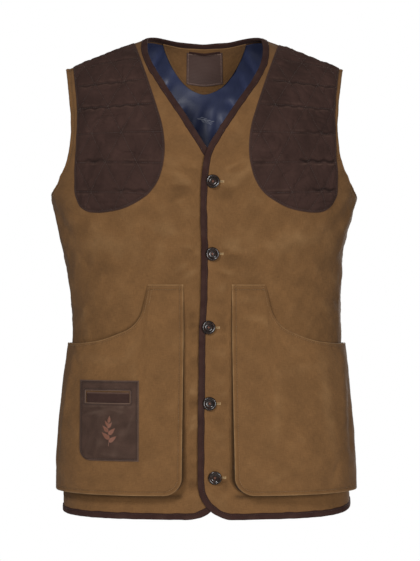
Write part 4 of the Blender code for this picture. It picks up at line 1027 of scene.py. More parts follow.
@cache
def horn_finish():
    """Polished dark horn: brown streaks in near black, under a satin polish."""
    finish, tree, shader = blank("polished_horn", Roughness=0.2, Specular_IOR_Level=0.5)
    place = add(tree, "TexCoord").outputs["Object"]
    turned = add(tree, "Mapping", {0: place, "Scale": (130, 130, 260), "Rotation": (0.3, 0.5, 0.8)})
    streaks = add(tree, "TexNoise", {"Vector": turned, "Scale": 1, "Detail": 5, "Distortion": 1.8})
    blend = add(tree, "MapRange", {0: streaks, 1: 0.48, 2: 0.8, 3: 0.0, 4: 1.0})
    colour = add(tree, "Mix", {"Factor": blend, 6: trim_settings().horn, 7: tone("4A342A")}, data_type="RGBA")
    tree.links.new(colour.outputs[2], shader.inputs["Base Color"])
    return finish


@cache
def label_finish():
    """Woven damask label: fine ribs across, 0.6 mm apart, drawn at 1.2 mm, and a soft lustre."""
    finish, tree, shader = blank("woven_label", Roughness=0.6, Sheen_Weight=0.15)
    place = add(tree, "UVMap", uv_map="cloth")
    sizes = {"Scale": 130, "Distortion": 1.2, "Detail": 2}
    rib = add(tree, "TexWave", {"Vector": place, **sizes}, bands_direction="Y")
    dyed = varied(tree, tone("503A33"), (rib.outputs["Fac"], 0.0, 1.0, 0.85, 1.12))
    tree.links.new(dyed.outputs[0], shader.inputs["Base Color"])
    bump = add(tree, "Bump", {"Height": rib.outputs["Fac"], "Distance": 0.0002, "Strength": 0.4})
    tree.links.new(bump.outputs[0], shader.inputs["Normal"])
    return finish


@cache
def suede():
    return napped_finish("quilted_suede", trim_settings().suede, 24.0, 0.28, 0.5)


@cache
def nubuck():
    return napped_finish("soft_nubuck", trim_settings().nubuck, 40.0, 0.22, 0.25, "8A7364")


@cache
def tape():
    return napped_finish("suede_binding_tape", trim_settings().tape, 60.0, 0.14, 0.35)


@cache
def brown_thread():
    return thread_finish("brown_sewing_thread", cloth_settings().thread)


@cache
def dark_thread():
    return thread_finish("dark_sewing_thread", trim_settings().dark_thread)


@cache
def tape_thread():
    return thread_finish("tape_sewing_thread", tone("452F29"))


def cloth_settings():
    return bpy.context.scene.gilet_cloth


def trim_settings():
    return bpy.context.scene.gilet_trim


def stage_settings():
    return bpy.context.scene.gilet_stage


# Panels

def panel(name, piece, node, grid, inside):
    """A canvas panel whose sides, armholes and shoulders are turned in and stitched."""
    a, v, to_side, to_top = grid
    points, normals = cloth(piece, a, v)
    away = np.abs(a) > NECK_A * 1.02
    roll = sewn_edge(to_side) + np.where(away, sewn_edge(to_top), 0.0)
    pucker = 0.00022 * np.sin(cloth_uv(points)[..., 1] * 2 * pi / 0.0105) * bell(to_side - 0.0035, 0.0045)
    outer = points + normals * (roll + pucker)[..., None]
    close = bell(to_side, 0.0009)
    inner = points - normals * (CANVAS - 0.0005 * close)[..., None]
    # Pale rubbed edges with painted shade in the stitching's grooves; crease ridges paler partly from washing
    # and partly as painted highlight, crease valleys with painted shade
    wear_and_painted_light = rubbed(to_side, 0.0063, 0.5) + np.where(away, rubbed(to_top, 0.0063, 0.3), 0.0)
    wear_and_painted_light = wear_and_painted_light + washed(small_relief(piece, a, points[..., 2]))
    if piece != "back":
        past = past_pocket_edge(a)
        # Painted shadow: a dark band on the front just under each pocket's bottom edge
        under_pocket_shadow = fade(past, 34, 70) * (1 - fade(past, -1.0, 1.5))
        wear_and_painted_light = wear_and_painted_light - 0.9 * under_pocket_shadow * bell(points[..., 2] - POCKET_BOTTOM + 0.003, 0.0034)
    return shell(name, node, "canvas", outer, inner, cloth_uv(points), canvas_finish(), wear_and_painted_light, inside), points


def side_seams(piece, a, v, side):
    """The stitched lines inside a panel's side, armhole and shoulder."""
    face = FACE[piece]
    column = -1 if side > 0 or piece != "back" else 0
    edge = np.stack([a[len(RINGS):, column], v[len(RINGS):, column]], -1)
    middle = (float(edge[:, 0].mean()) * 0.5, 0.9)
    low = edge[edge[:, 0] * np.sign(edge[0, 0]) > pi / 2 - 1e-6]
    hole = edge[len(low) - 1:]
    rows = [inset(face, evenly(part, face, 0.003), 0.0063, middle) for part in (low, hole)]
    return [cloth(piece, *evenly(row, face, 0.003).T) for row in rows]


class GILET_OT_fronts(bpy.types.Operator):
    """Make the two canvas fronts and their stitching"""

    bl_idname = "gilet.fronts"
    bl_label = "Fronts"

    def execute(self, context):
        for piece, node in (("over", "front_left"), ("under", "front_right")):
            grid = front_grid(piece, cloth_settings().spacing)
            made, points = panel(node.replace("front", "canvas_front"), piece, node, grid, satin_finish())
            side = SIDE[piece]
            rows = side_seams(piece, grid[0], grid[1], side)
            sewn = stitches(made.name + "_stitching", rows, brown_thread(), "canvas")
            declare_sheet(made, points)
        return {"FINISHED"}


class GILET_OT_back(bpy.types.Operator):
    """Make the canvas back and its stitching"""

    bl_idname = "gilet.back"
    bl_label = "Back"

    def execute(self, context):
        grid = back_grid(cloth_settings().spacing)
        made, points = panel("canvas_back", "back", "back", grid, canvas_finish())
        rows = side_seams("back", grid[0], grid[1], 1) + side_seams("back", grid[0], grid[1], -1)
        sewn = stitches("canvas_back_stitching", rows, brown_thread(), "canvas")
        declare_sheet(made, points)
        return {"FINISHED"}


# Recoil patches

def chest_tables():
    a = np.linspace(0, pi / 2, 800)
    v = np.linspace(0.4, 2, 2000)
    up = lengths(form(-1, radians(35), v))
    return a, lengths(form(-1, a, 1.1)), v, up - np.interp(1.0, v, up)


def from_chest(side, across, up):
    a_table, across_table, v_table, up_table = chest_tables()
    a = np.interp(np.asarray(across) + side * PATCH_SHIFT, across_table, a_table)
    drop = levels(a)[1] - levels(radians(35))[1]
    return side * a, np.interp(np.asarray(up) - drop, up_table, v_table)


def soft_line(rows, spacing):
    rows = np.array(rows)
    knots = lengths(rows)
    at = even(0, knots[-1], spacing)
    return np.stack([smooth(knots, rows[:, 0], at), smooth(knots, rows[:, 1], at)], -1)


def straight_line(corners, spacing):
    """Points this far apart from corner to corner."""
    run = lengths(np.array(corners))
    at = even(0, run[-1], spacing)
    return [np.interp(at, run, np.array(corners)[:, k]) for k in (0, 1)]


def to_outline(outline, points):
    """Distance of each point from a closed outline, and whether it lies inside."""
    following = np.roll(outline, -1, axis=0)
    nearest = np.full(len(points), np.inf)
    crossings = np.zeros(len(points), int)
    for start, end in zip(outline, following):
        span = end - start
        share = np.clip(((points - start) @ span) / max(span @ span, 1e-18), 0, 1)
        nearest = np.minimum(nearest, np.linalg.norm(start + share[:, None] * span - points, axis=1))
        crossing = (start[1] > points[:, 1]) != (end[1] > points[:, 1])
        reach = start[0] + (points[:, 1] - start[1]) * span[0] / (span[1] if abs(span[1]) > 1e-15 else 1e-15)
        crossings += crossing & (reach > points[:, 0])
    return nearest, crossings % 2 == 1


def inwards(outline):
    """Directions to the inside along a closed outline."""
    ahead = unit(np.roll(outline, -1, axis=0) - np.roll(outline, 1, axis=0))
    normal = np.stack([-ahead[:, 1], ahead[:, 0]], -1)
    return normal if to_outline(outline, outline[:1] + normal[:1] * 1e-4)[1][0] else -normal


def filled(outline, spacing):
    """Triangles of a flat piece, with rings of points along its outline for a rolled edge."""
    low, high = outline.min(0), outline.max(0)
    rows = []
    for j, y in enumerate(np.arange(low[1], high[1], spacing * 0.87)):
        x = np.arange(low[0] + (j % 2) * spacing / 2, high[0], spacing)
        rows.append(np.stack([x, np.full_like(x, y)], -1))
    inside = np.concatenate(rows)
    distance, within = to_outline(outline, inside)
    inside = inside[within & (distance > RINGS[5] + spacing * 0.35)]
    normal = inwards(outline)
    rings = []
    for ring in RINGS[1:6]:
        moved = outline + normal * ring
        distance, within = to_outline(outline, moved)
        rings.append(moved[within & (distance > ring * 0.93)])
    points = np.concatenate([outline, *rings, inside])
    loop = list(range(len(outline)))
    made, _, faces, _, _, _ = delaunay_2d_cdt([Vector(p) for p in points], [], [loop], 1, 1e-7)
    flat = np.array([(p.x, p.y) for p in made])
    return flat, np.array([face[:3] for face in faces])


def quilt(points):
    """Distance from each point to the nearest of the quilting's three sets of lines, and to
    each set."""
    tall = trim_settings().quilt_side * sqrt(3) / 2
    x, y = points[:, 0] - QUILT_PHASE[0], points[:, 1] - QUILT_PHASE[1]
    sets = []
    for turn in (0, 60, 120):
        off = -x * sin(radians(turn)) + y * cos(radians(turn))
        sets.append(np.abs((off / tall + 0.5) % 1 - 0.5) * tall)
    return np.min(sets, axis=0), sets


def patch_outline(side, spacing):
    outline = soft_line(PATCH_EDGE, spacing)
    ends = np.linspace(PATCH_EDGE[-1][0], PATCH_EDGE[0][0], int(0.115 / spacing))[1:-1]
    outline = np.concatenate([outline, np.stack([ends, np.full_like(ends, 1)], -1)])
    a_table, across_table, _, up_table = chest_tables()
    turn = np.interp(outline[:, 0] + side * PATCH_SHIFT, across_table, a_table)
    seam = up_table[-1] + levels(turn)[1] - levels(radians(35))[1]
    outline[:, 1] = np.minimum(outline[:, 1], seam - 0.0009)
    return outline


def quilt_creases(side, flat):
    """Distance from each deep crease, and its depth there."""
    found = []
    for start, end, height, depth in QUILT_CREASES[side]:
        wave = 0.0011 * np.sin(flat[:, 0] * 2 * pi / 0.021 + height * 900)
        ends = fade(flat[:, 0], end - 0.012, end) * (1 - fade(flat[:, 0], start, start + 0.015))
        found.append((flat[:, 1] - height - wave, 1.5 * depth * ends))
    return found


def patch_height(side, flat, distance):
    """Height of a quilted pad over the cloth: rolled edge, puffs, ripples at the sewn lines
    and the deep creases."""
    nearest, sets = quilt(flat)
    inner = 1 - fade(distance, 0.002, 0.01)
    padded = 1 - 0.45 * np.exp(-sets[0] / 0.0065) - 0.4 * np.exp(-nearest / 0.0055)
    puff = trim_settings().quilt_puff * padded - 0.0005 * bell(sets[0], 0.0013)
    puff = (puff - 0.0003 * bell(nearest, 0.0012)) * inner
    run = flat[:, 0] * 1.7 + flat[:, 1] * 0.9
    ripple = 0.00028 * np.sin(run * 2 * pi / 0.0125 + 3 * waves(*flat.T, 11 + side, 0.05, 0.02))
    puff = puff + ripple * bell(nearest - 0.003, 0.0045) * inner
    puff = puff + 0.0005 * waves(*flat.T, 21 + side, 0.045, 0.012) * inner
    for seed, lengthwise, depth in ((25, 0.45, 0.0019), (29, 0.8, 0.0013), (33, 1.6, 0.0009)):
        field = waves(flat[:, 0] * lengthwise, flat[:, 1], seed + side, 0.075, 0.022)
        patchy = np.clip(0.45 + 0.6 * waves(*flat.T, seed + 3 + side, 0.12, 0.05), 0, 1)
        puff = puff - depth * bell(field, 0.16) * patchy * inner
    for off, strength in quilt_creases(side, flat):
        puff = puff - strength * bell(off, 0.0016) + 0.55 * strength * bell(off + 0.0042, 0.0028)
    edge = 0.0013 - 0.0009 * bell(distance, 0.0007) - 0.0005 * bell(distance - 0.0028, 0.0008)
    return edge + np.maximum(puff, -0.0003)


def on_pad(side, piece, outline, flat):
    """A path on top of the pad."""
    distance = to_outline(outline, flat)[0]
    a, v = from_chest(side, *flat.T)
    points, normals = cloth(piece, a, v)
    return points + normals * (0.00035 + patch_height(side, flat, distance))[:, None], normals


def patch_edging(side, piece, outline):
    flat = outline + inwards(outline) * 0.0028
    distance, within = to_outline(outline, flat)
    flat = flat[within & (distance > 0.0025)]
    return on_pad(side, piece, outline, flat)


def patch_quilting(side, piece, outline):
    """The sewn lines of the triangle pattern, where they cross the patch."""
    tall = trim_settings().quilt_side * sqrt(3) / 2
    rows = []
    for turn in (0, 60, 120):
        along = np.array((cos(radians(turn)), sin(radians(turn))))
        off = np.array((-along[1], along[0]))
        for k in range(-8, 9):
            steps = np.arange(-0.35, 0.35, 0.0016)[:, None]
            flat = np.array(QUILT_PHASE) + off * k * tall + along * steps
            distance, within = to_outline(outline, flat)
            kept = within & (distance > 0.004)
            cuts = np.flatnonzero(np.diff(kept.astype(int))) + 1
            for part in np.split(np.arange(len(flat)), cuts):
                if len(part) > 5 and kept[part[0]]:
                    rows.append(on_pad(side, piece, outline, flat[part]))
    return rows


class GILET_OT_patches(bpy.types.Operator):
    """Make the two quilted recoil patches and their stitching"""

    bl_idname = "gilet.patches"
    bl_label = "Recoil patches"

    def execute(self, context):
        for side, tag in ((1, "left"), (-1, "right")):
            piece = FRONT[side]
            outline = patch_outline(side, 0.0022)
            flat, faces = filled(outline, 0.0017)
            distance = to_outline(outline, flat)[0]
            a, v = from_chest(side, *flat.T)
            points, normals = cloth(piece, a, v)
            high = patch_height(side, flat, distance)
            outer = points + normals * (0.0002 + high)[:, None]
            inner = points + normals * 0.00015
            nearest, sets = quilt(flat)
            # Pale rubbed outline with painted shade at its stitching; painted shade along the quilting lines
            # with painted highlight beside them; painted shade in the deep creases with painted highlight below
            # them
            uneven = np.clip(0.5 + 0.6 * waves(*flat.T, 37 + side, 0.08, 0.02), 0, 1)
            quilt_line_shade = uneven * (0.35 * bell(sets[0], 0.0013) - 0.1 * bell(sets[0] - 0.0034, 0.0013))
            quilt_line_shade = quilt_line_shade + 0.3 * bell(nearest, 0.0012)
            wear_and_painted_light = 0.16 * bell(distance - 0.0006, 0.0008) - 0.4 * bell(distance - 0.003, 0.0009)
            wear_and_painted_light = wear_and_painted_light - quilt_line_shade * (distance > 0.004)
            for off, strength in quilt_creases(side, flat):
                painted_shade_and_pale = 0.18 * bell(off + 0.0034, 0.0015) - 0.8 * bell(off, 0.0016)
                wear_and_painted_light = wear_and_painted_light + strength / 0.0022 * painted_shade_and_pale
            name = f"suede_patch_{tag}"
            made = shell(name, f"recoil_patch_{tag}", "suede", outer, inner, flat, suede(), wear_and_painted_light, faces=faces)
            rows = patch_quilting(side, piece, outline) + [patch_edging(side, piece, outline)]
            stitches(name + "_stitching", rows, dark_thread(), "suede", 0.0032, 0.0005)
        return {"FINISHED"}


# Pockets

def stand_off(share, z):
    high = np.clip((z - POCKET_BOTTOM) / (POCKET_TOP[0, 1] - POCKET_BOTTOM), 0, 1)
    inner, middle, outer = (smooth(POCKET_STAND[:, 0], POCKET_STAND[:, k], high) for k in (1, 2, 3))
    mix = fade(share, 0, 1)
    return inner * mix + outer * (1 - mix) + middle * np.sin(pi * np.clip(share, 0, 1))


def across_share(side, a):
    first, last = pocket_ends(side)
    return (a - first) / (last - first)


def pocket_grid(side, spacing):
    """The a and v of a pocket's points."""
    angles = np.linspace(*pocket_ends(side), 400)
    run = lengths(form(-1, angles, 0.3))
    low = np.concatenate([RINGS, even(RINGS[-1], POCKET_CORNER, 0.0026)[1:]])
    middle = even(POCKET_CORNER, run[-1] - RINGS[-1], spacing)[1:-1]
    columns = np.concatenate([low, middle, run[-1] - RINGS[::-1]])
    a = np.interp(columns, run, angles)
    top = pocket_mouth(a)
    start = POCKET_BOTTOM + POCKET_CORNER
    ups = to_rings(0.2, spacing)[1:]
    rest = np.where(ups < 0.2 - RINGS[-1] - 1e-9, ups / (0.2 - RINGS[-1]), 1.0)
    below = np.where(ups < 0.2 - RINGS[-1] - 1e-9, RINGS[-1], 0.2 - ups)
    upper = start + (top[None] - RINGS[-1] - start) * rest[:, None] + (RINGS[-1] - below)[:, None]
    z = np.concatenate([np.broadcast_to(POCKET_BOTTOM + low[:, None], (len(low), len(a))), upper])
    a = np.broadcast_to(a, z.shape).copy()
    z = z.copy()
    count = len(low)
    across, up = np.meshgrid(low, low)
    out, high = round_corner(across, up, POCKET_CORNER)
    a[:count, :count] = np.interp(out, run, angles)
    z[:count, :count] = POCKET_BOTTOM + high
    far = run[-1] - columns
    outer = far < POCKET_OUTER_CORNER
    lower = low < POCKET_OUTER_CORNER
    across, up = np.meshgrid(far[outer], low[lower])
    out, high = round_corner(across, up, POCKET_OUTER_CORNER)
    index = np.ix_(np.flatnonzero(lower), np.flatnonzero(outer))
    a[index] = np.interp(run[-1] - out, run, angles)
    z[index] = POCKET_BOTTOM + high
    hem, chest = levels(a)
    return a, (z - hem) / (chest - hem)


def pocket_relief(side, across, z):
    height = 0.00035 * waves(across, z, 31 + side) * fade(z, -0.372, -0.352)
    for start, middle, *rest in POCKET_CREASES[side]:
        height = height + cloth_settings().creasing * 0.8 * crease(across - start, z - middle, *rest)
    return height


def on_pocket(side, a, v):
    """Points and normals of the outside of a pocket, with its creases."""
    piece = FRONT[side]
    points, normals = cloth(piece, a, v, fine=False)
    angles = np.linspace(*pocket_ends(side), 200)
    z = form(-1, a, v)[..., 2]
    across = np.interp(np.asarray(a) * side, angles * side, lengths(form(-1, angles, 0.3)))
    stand = stand_off(across_share(side, a), z) + pocket_relief(side, across, z)
    return points + normals * stand[..., None], normals


def seen_on_pocket(x, z):
    """Points and normals of the places on the right pocket that show at x, z from the front."""
    aim_x, aim_z = np.array(x, float), np.array(z, float)
    for _ in range(8):
        points, normals = on_pocket(-1, *spot(-1, aim_x, aim_z))
        aim_x += x - points[..., 0]
        aim_z += z - points[..., 2]
    return points, normals


def pocket_rows(side, a, v):
    """Stitched lines: inside the inner edge, bottom and side, along the mouth, and twice
    along the top."""
    grid = np.stack([a, v], -1)
    edge = evenly(np.concatenate([grid[::-1, 0], grid[0, 1:], grid[1:, -1]]), -1, 0.003)
    middle = (float(a.mean()), float(v.mean()))
    mouth = evenly(grid[-1], -1, 0.002)
    flat_top = mouth[np.abs(np.degrees(mouth[:, 0])) < 21.6]
    rows = []
    for line, distance in ((edge, 0.0056), (mouth, 0.0034), (flat_top, 0.0074)):
        row = inset(-1, line, distance, middle)[1:-1]
        parts = form(-1, *row.T), form(-1, *line.T)
        gaps = np.linalg.norm(parts[0][:, None] - parts[1][None], axis=-1).min(axis=1)
        row = evenly(row[gaps > distance * 0.95], -1, 0.003)
        rows.append(on_pocket(side, *row.T))
    return rows


def pocket_gusset(side, tag, a, v):
    """The folded strip that lets a pocket stand off."""
    piece = FRONT[side]
    grid = np.stack([a, v], -1)
    height = (form(-1, a[:, 0], v[:, 0])[:, 2] - POCKET_BOTTOM) / (POCKET_TOP[0, 1] - POCKET_BOTTOM)
    start = int(np.flatnonzero(height <= 0.93)[-1])
    edge = np.concatenate([grid[start:0:-1, 0], grid[0], grid[1:, -1]])
    edge = evenly(edge, -1, 0.0028)
    middle = (float(a.mean()), float(v.mean()))
    points, normals = cloth(piece, *edge.T, fine=False)
    inward = inset(-1, edge, 0.002, middle)
    out = unit(points - cloth(piece, *inward.T, fine=False)[0])
    stand = stand_off(across_share(side, edge[:, 0]), form(-1, *edge.T)[:, 2])
    upright = np.clip((stand - 0.0043) / 0.008, 0, 1)
    run = lengths(points)
    crumple = waves(run, run * 0, 41 + side, 0.03, 0.009)
    tapered = np.clip(np.minimum(run, run[-1] - run) / 0.03, 0, 1)
    wide = (0.002 + 0.0026 * upright + 0.0005 * crumple) * tapered
    wide = wide * (1 - 0.75 * np.clip(-out[:, 2], 0, 1)) + 0.0004
    flat = 0.0009
    top = stand - CANVAS - 0.0007 - 0.0003 * (1 - upright)
    fold = (0.0022 + 0.0011 * crumple) * upright
    profile = [
        (wide, np.full_like(stand, flat - 0.0002)),
        (wide - np.minimum(0.0011, wide * 0.5), np.full_like(stand, flat)),
        (wide * 0.3, flat + 0.0003 * upright * (1 + crumple)),
        (-fold * 0.6, flat + (top - flat) * 0.25),
        (-fold - 0.001 * (1 - upright), flat + (top - flat) * 0.5),
        (-fold * 0.6 - 0.0015 * (1 - upright), flat + (top - flat) * 0.78),
        (-0.001 * upright - 0.0025 * (1 - upright), top),
        (-0.0045 + 0 * stand, top),
    ]
    path = np.stack([np.stack(p, -1) for p in profile], axis=1)
    ahead = unit(np.gradient(path, axis=1))
    aside = np.stack([-ahead[..., 1], ahead[..., 0]], -1) * 0.0005
    far, near = (
        points[:, None] + out[:, None] * line[..., :1] + normals[:, None] * line[..., 1:]
        for line in (path + aside, path - aside)
    )
    # Painted shade across the gusset, darkest in the fold that lies under the pocket's edge
    wear_and_painted_light = np.array((-0.35, -0.3, -0.9, -1.1, -1.0, -0.8, -0.5, 0.0)) * np.ones((len(path), 1))
    names = f"canvas_gusset_{tag}", f"pocket_gusset_{tag}"
    declare_sheet(shell(*names, "canvas", far, near, cloth_uv(far), canvas_finish(), wear_and_painted_light), far)


class GILET_OT_pockets(bpy.types.Operator):
    """Make the two bellows pockets with their gussets and stitching"""

    bl_idname = "gilet.pockets"
    bl_label = "Bellows pockets"

    def execute(self, context):
        for side, tag in ((1, "left"), (-1, "right")):
            a, v = pocket_grid(side, 0.003)
            points, normals = on_pocket(side, a, v)
            along = cloth_uv(points)
            left, low = along[..., 0], along[..., 1]
            right, high = left[:, -1:] - left, low[-1:] - low
            near = np.minimum(np.minimum(left, right), low)
            hem = (np.abs(np.degrees(a)) < 21.6) * bell(high - 0.0074, 0.001)
            roll = sewn_edge(near, 0.0056) + sewn_edge(high, 0.0034) - 0.0006 * hem
            pucker = 0.0002 * np.sin((left + low) * 2 * pi / 0.0098)
            pucker = pucker * bell(np.minimum(near, high) - 0.004, 0.004)
            outer = points + normals * (roll + pucker)[..., None]
            inner = points - normals * (CANVAS - 0.0004)
            # Pale rubbed edges; painted shade in the stitching's grooves and along the stitched top hem; crease
            # marks with painted highlight and shade
            wear_and_painted_light = np.maximum(rubbed(near, 0.0056, 0.9), 0) + np.maximum(rubbed(high, 0.0034, 0.8), 0)
            wear_and_painted_light = wear_and_painted_light + 0.6 * np.minimum(rubbed(near, 0.0056, 0), rubbed(high, 0.0034, 0)) - 0.6 * hem
            wear_and_painted_light = wear_and_painted_light + 0.6 * washed(pocket_relief(side, left if side > 0 else right, points[..., 2]))
            name = f"canvas_pocket_{tag}"
            made = shell(name, f"pocket_{tag}", "canvas", outer, inner, along, canvas_finish(), wear_and_painted_light)
            sewn = stitches(name + "_stitching", pocket_rows(side, a, v), brown_thread(), "canvas")
            declare_sheet(made, points)
            pocket_gusset(side, tag, a, v)
        return {"FINISHED"}


def small_lift(x, z):
    """The patch swells a little in its middle, and gapes under its slot."""
    across = np.clip((x - SMALL_X[0]) / (SMALL_X[1] - SMALL_X[0]), 0, 1)
    up = np.clip((z - SMALL_Z[0]) / (SMALL_Z[1] - SMALL_Z[0]), 0, 1)
    body = 0.0018 * np.sqrt(np.clip(np.sin(pi * across) * np.sin(pi * up), 0, 1))
    return body + small_pocket_relief(x, z)


def small_pocket_relief(x, z):
    across = np.clip((x - SMALL_X[0]) / (SMALL_X[1] - SMALL_X[0]), 0, 1)
    inner = np.clip(4 * across * (1 - across), 0, 1)
    height = (0.0012 * bell(z - SLOT_Z[0] + 0.004, 0.004) + 0.00035 * waves(x, z, 51, 0.04, 0.012)) * inner
    for start, middle, *rest in SMALL_CREASES:
        height = height + crease(x - start, z - middle, *rest)
    return height


def on_small_pocket(x, z, lift):
    points, normals = seen_on_pocket(x, z)
    return points + normals * (0.0018 + small_lift(np.asarray(x), np.asarray(z)) + lift)[..., None], normals


def small_pocket_rows():
    inset_by = 0.003
    left, right = SMALL_X[0] + inset_by, SMALL_X[1] - inset_by
    low, high = SMALL_Z[0] + inset_by, SMALL_Z[1] - inset_by
    turn = np.linspace(0, pi / 2, 12)
    reach = SMALL_CORNER - inset_by
    arc = np.stack([left + reach - reach * np.cos(turn), low + reach - reach * np.sin(turn)], -1)
    outline = np.concatenate([[(left, high)], arc, [(right, low), (right, high), (left, high)]])
    outside = np.array((-0.0028, 0.0028))
    (left, right), (low, high) = SLOT_X + outside, SLOT_Z + outside
    slot = [(left, low), (right, low), (right, high), (left, high), (left, low)]
    return [on_small_pocket(*straight_line(corners, 0.0015), 0.0) for corners in (outline, slot)]


def small_pocket_welt():
    """The folded strip that shows in the slot."""
    x = even(SLOT_X[0] + 0.0012, SLOT_X[1] - 0.0012, 0.002)
    z = even(SLOT_Z[0] - 0.003, SLOT_Z[1] - 0.0015, 0.0012)
    grid_x, grid_z = np.meshgrid(x, z)
    points, normals = seen_on_pocket(grid_x, grid_z)
    high = 0.0004 + 0.00022 * waves(grid_x, grid_z, 61, 0.02, 0.007) ** 2
    top = np.clip((z[-1] - grid_z) / 0.0015, 0, 1)
    outer = points + normals * (high + 0.0004 + 0.0006 * np.sqrt(top))[..., None]
    inner = points + normals * 0.0002
    wear_and_painted_light = 0.5 * bell(z[-1] - grid_z - 0.0008, 0.0012)
    uv = np.stack([grid_x, grid_z], -1)
    made = shell("nubuck_welt", "patch_pocket_welt", "trim_leather", outer, inner, uv, suede(), wear_and_painted_light)
    declare_sheet(made, outer)


def embroidered_sprig():
    """A small sprig of leaves in satin stitch: parallel strokes across each leaf."""
    lines = []
    root = np.array((-0.1375, -0.58))
    stem = [root + (0.0, 0.0), root + (0.0012, 0.012), root + (-0.0008, 0.024), root + (0.001, 0.0345)]
    line = soft_line(stem, 0.0012)
    lines.append(line)
    leaves = ((0.006, 1, 52, 0.0135), (0.01, -1, 48, 0.0145), (0.0165, 1, 44, 0.013), (0.0205, -1, 42, 0.012),
              (0.026, 1, 36, 0.01), (0.029, -1, 34, 0.009), (0.0335, 1, 4, 0.01))
    for height, side, turn, size in leaves:
        base = np.array((np.interp(root[1] + height, line[:, 1], line[:, 0]), root[1] + height))
        along = np.array((side * sin(radians(turn)), cos(radians(turn))))
        off = np.array((-along[1], along[0]))
        for t in np.arange(0.06, 1.0, 0.00058 / size):
            half = size * 0.22 * sin(pi * t ** 0.8)
            middle = base + along * size * t
            tilt = along * half * 0.5
            lines.append(np.array([middle - off * half - tilt, middle, middle + off * half - tilt]))
    paths = [on_small_pocket(*path.T, 0.00018) for path in lines]
    finish = thread_finish("embroidery_thread", trim_settings().embroidery, 0.5)
    strokes("embroidered_sprig", paths, finish, "trim_leather", 0.00062)


def past_slot(sides, slot):
    """Places across the small pocket, closer together at its edges and the slot's."""
    ends = (sides[0], *slot, sides[1])
    parts = [low + RINGS for low in ends[:3]] + [high - RINGS for high in ends[1:]]
    parts += [even(low + RINGS[-1], high - RINGS[-1], 0.002) for low, high in zip(ends, ends[1:])]
    return np.unique(np.round(np.concatenate(parts), 7))


class GILET_OT_small_pocket(bpy.types.Operator):
    """Make the small slotted pocket, its welt, its stitching and its sprig"""

    bl_idname = "gilet.small_pocket"
    bl_label = "Small pocket"

    def execute(self, context):
        x, z = past_slot(SMALL_X, SLOT_X), past_slot(SMALL_Z, SLOT_Z)
        grid_x, grid_z = np.meshgrid(x, z)
        in_x = (x[:-1] >= SLOT_X[0] - 1e-6) & (x[1:] <= SLOT_X[1] + 1e-6)
        in_z = (z[:-1] >= SLOT_Z[0] - 1e-6) & (z[1:] <= SLOT_Z[1] + 1e-6)
        keep = ~(in_z[:, None] & in_x[None]).reshape(-1)
        faces = grid_faces(*grid_x.shape)[keep]
        up = grid_z - SMALL_Z[0]
        corner = np.where(up < SMALL_CORNER, SMALL_CORNER - np.sqrt(np.clip(
            SMALL_CORNER ** 2 - (SMALL_CORNER - up) ** 2, 0, None)), 0.0)
        share = (SMALL_X[1] - grid_x) / (SMALL_X[1] - SMALL_X[0])
        edge = np.minimum(grid_x - SMALL_X[0], SMALL_X[1] - grid_x)
        edge = np.minimum(edge, np.minimum(up, SMALL_Z[1] - grid_z))
        slot = np.hypot(np.maximum(np.maximum(SLOT_X[0] - grid_x, grid_x - SLOT_X[1]), 0),
                        np.maximum(np.maximum(SLOT_Z[0] - grid_z, grid_z - SLOT_Z[1]), 0))
        grid_x = grid_x + corner * share ** 2
        lift = small_lift(grid_x, grid_z)
        roll = sewn_edge(edge, 0.003) * 0.8 + sewn_edge(slot, 0.003) * 0.7
        points, normals = seen_on_pocket(grid_x, grid_z)
        outer = points + normals * (0.0008 + lift + 0.001 + roll)[..., None]
        inner = points + normals * (0.0006 + lift)[..., None]
        # Pale rubbed edges with painted shade in the stitching's grooves; crease marks with painted highlight
        # and shade
        wear_and_painted_light = rubbed(edge, 0.003, 0.34) + rubbed(slot, 0.0028, 0.4)
        wear_and_painted_light = wear_and_painted_light + washed(small_pocket_relief(grid_x, grid_z))
        name, slot_name, uv = "nubuck_patch_pocket", "trim_leather", np.stack([grid_x, grid_z], -1)
        made = shell(name, "patch_pocket", slot_name, outer, inner, uv, nubuck(), wear_and_painted_light, faces=faces)
        sewn = stitches(name + "_stitching", small_pocket_rows(), dark_thread(), slot_name, 0.003, 0.0005)
        declare_sheet(made, outer)
        small_pocket_welt()
        embroidered_sprig()
        return {"FINISHED"}


# Binding

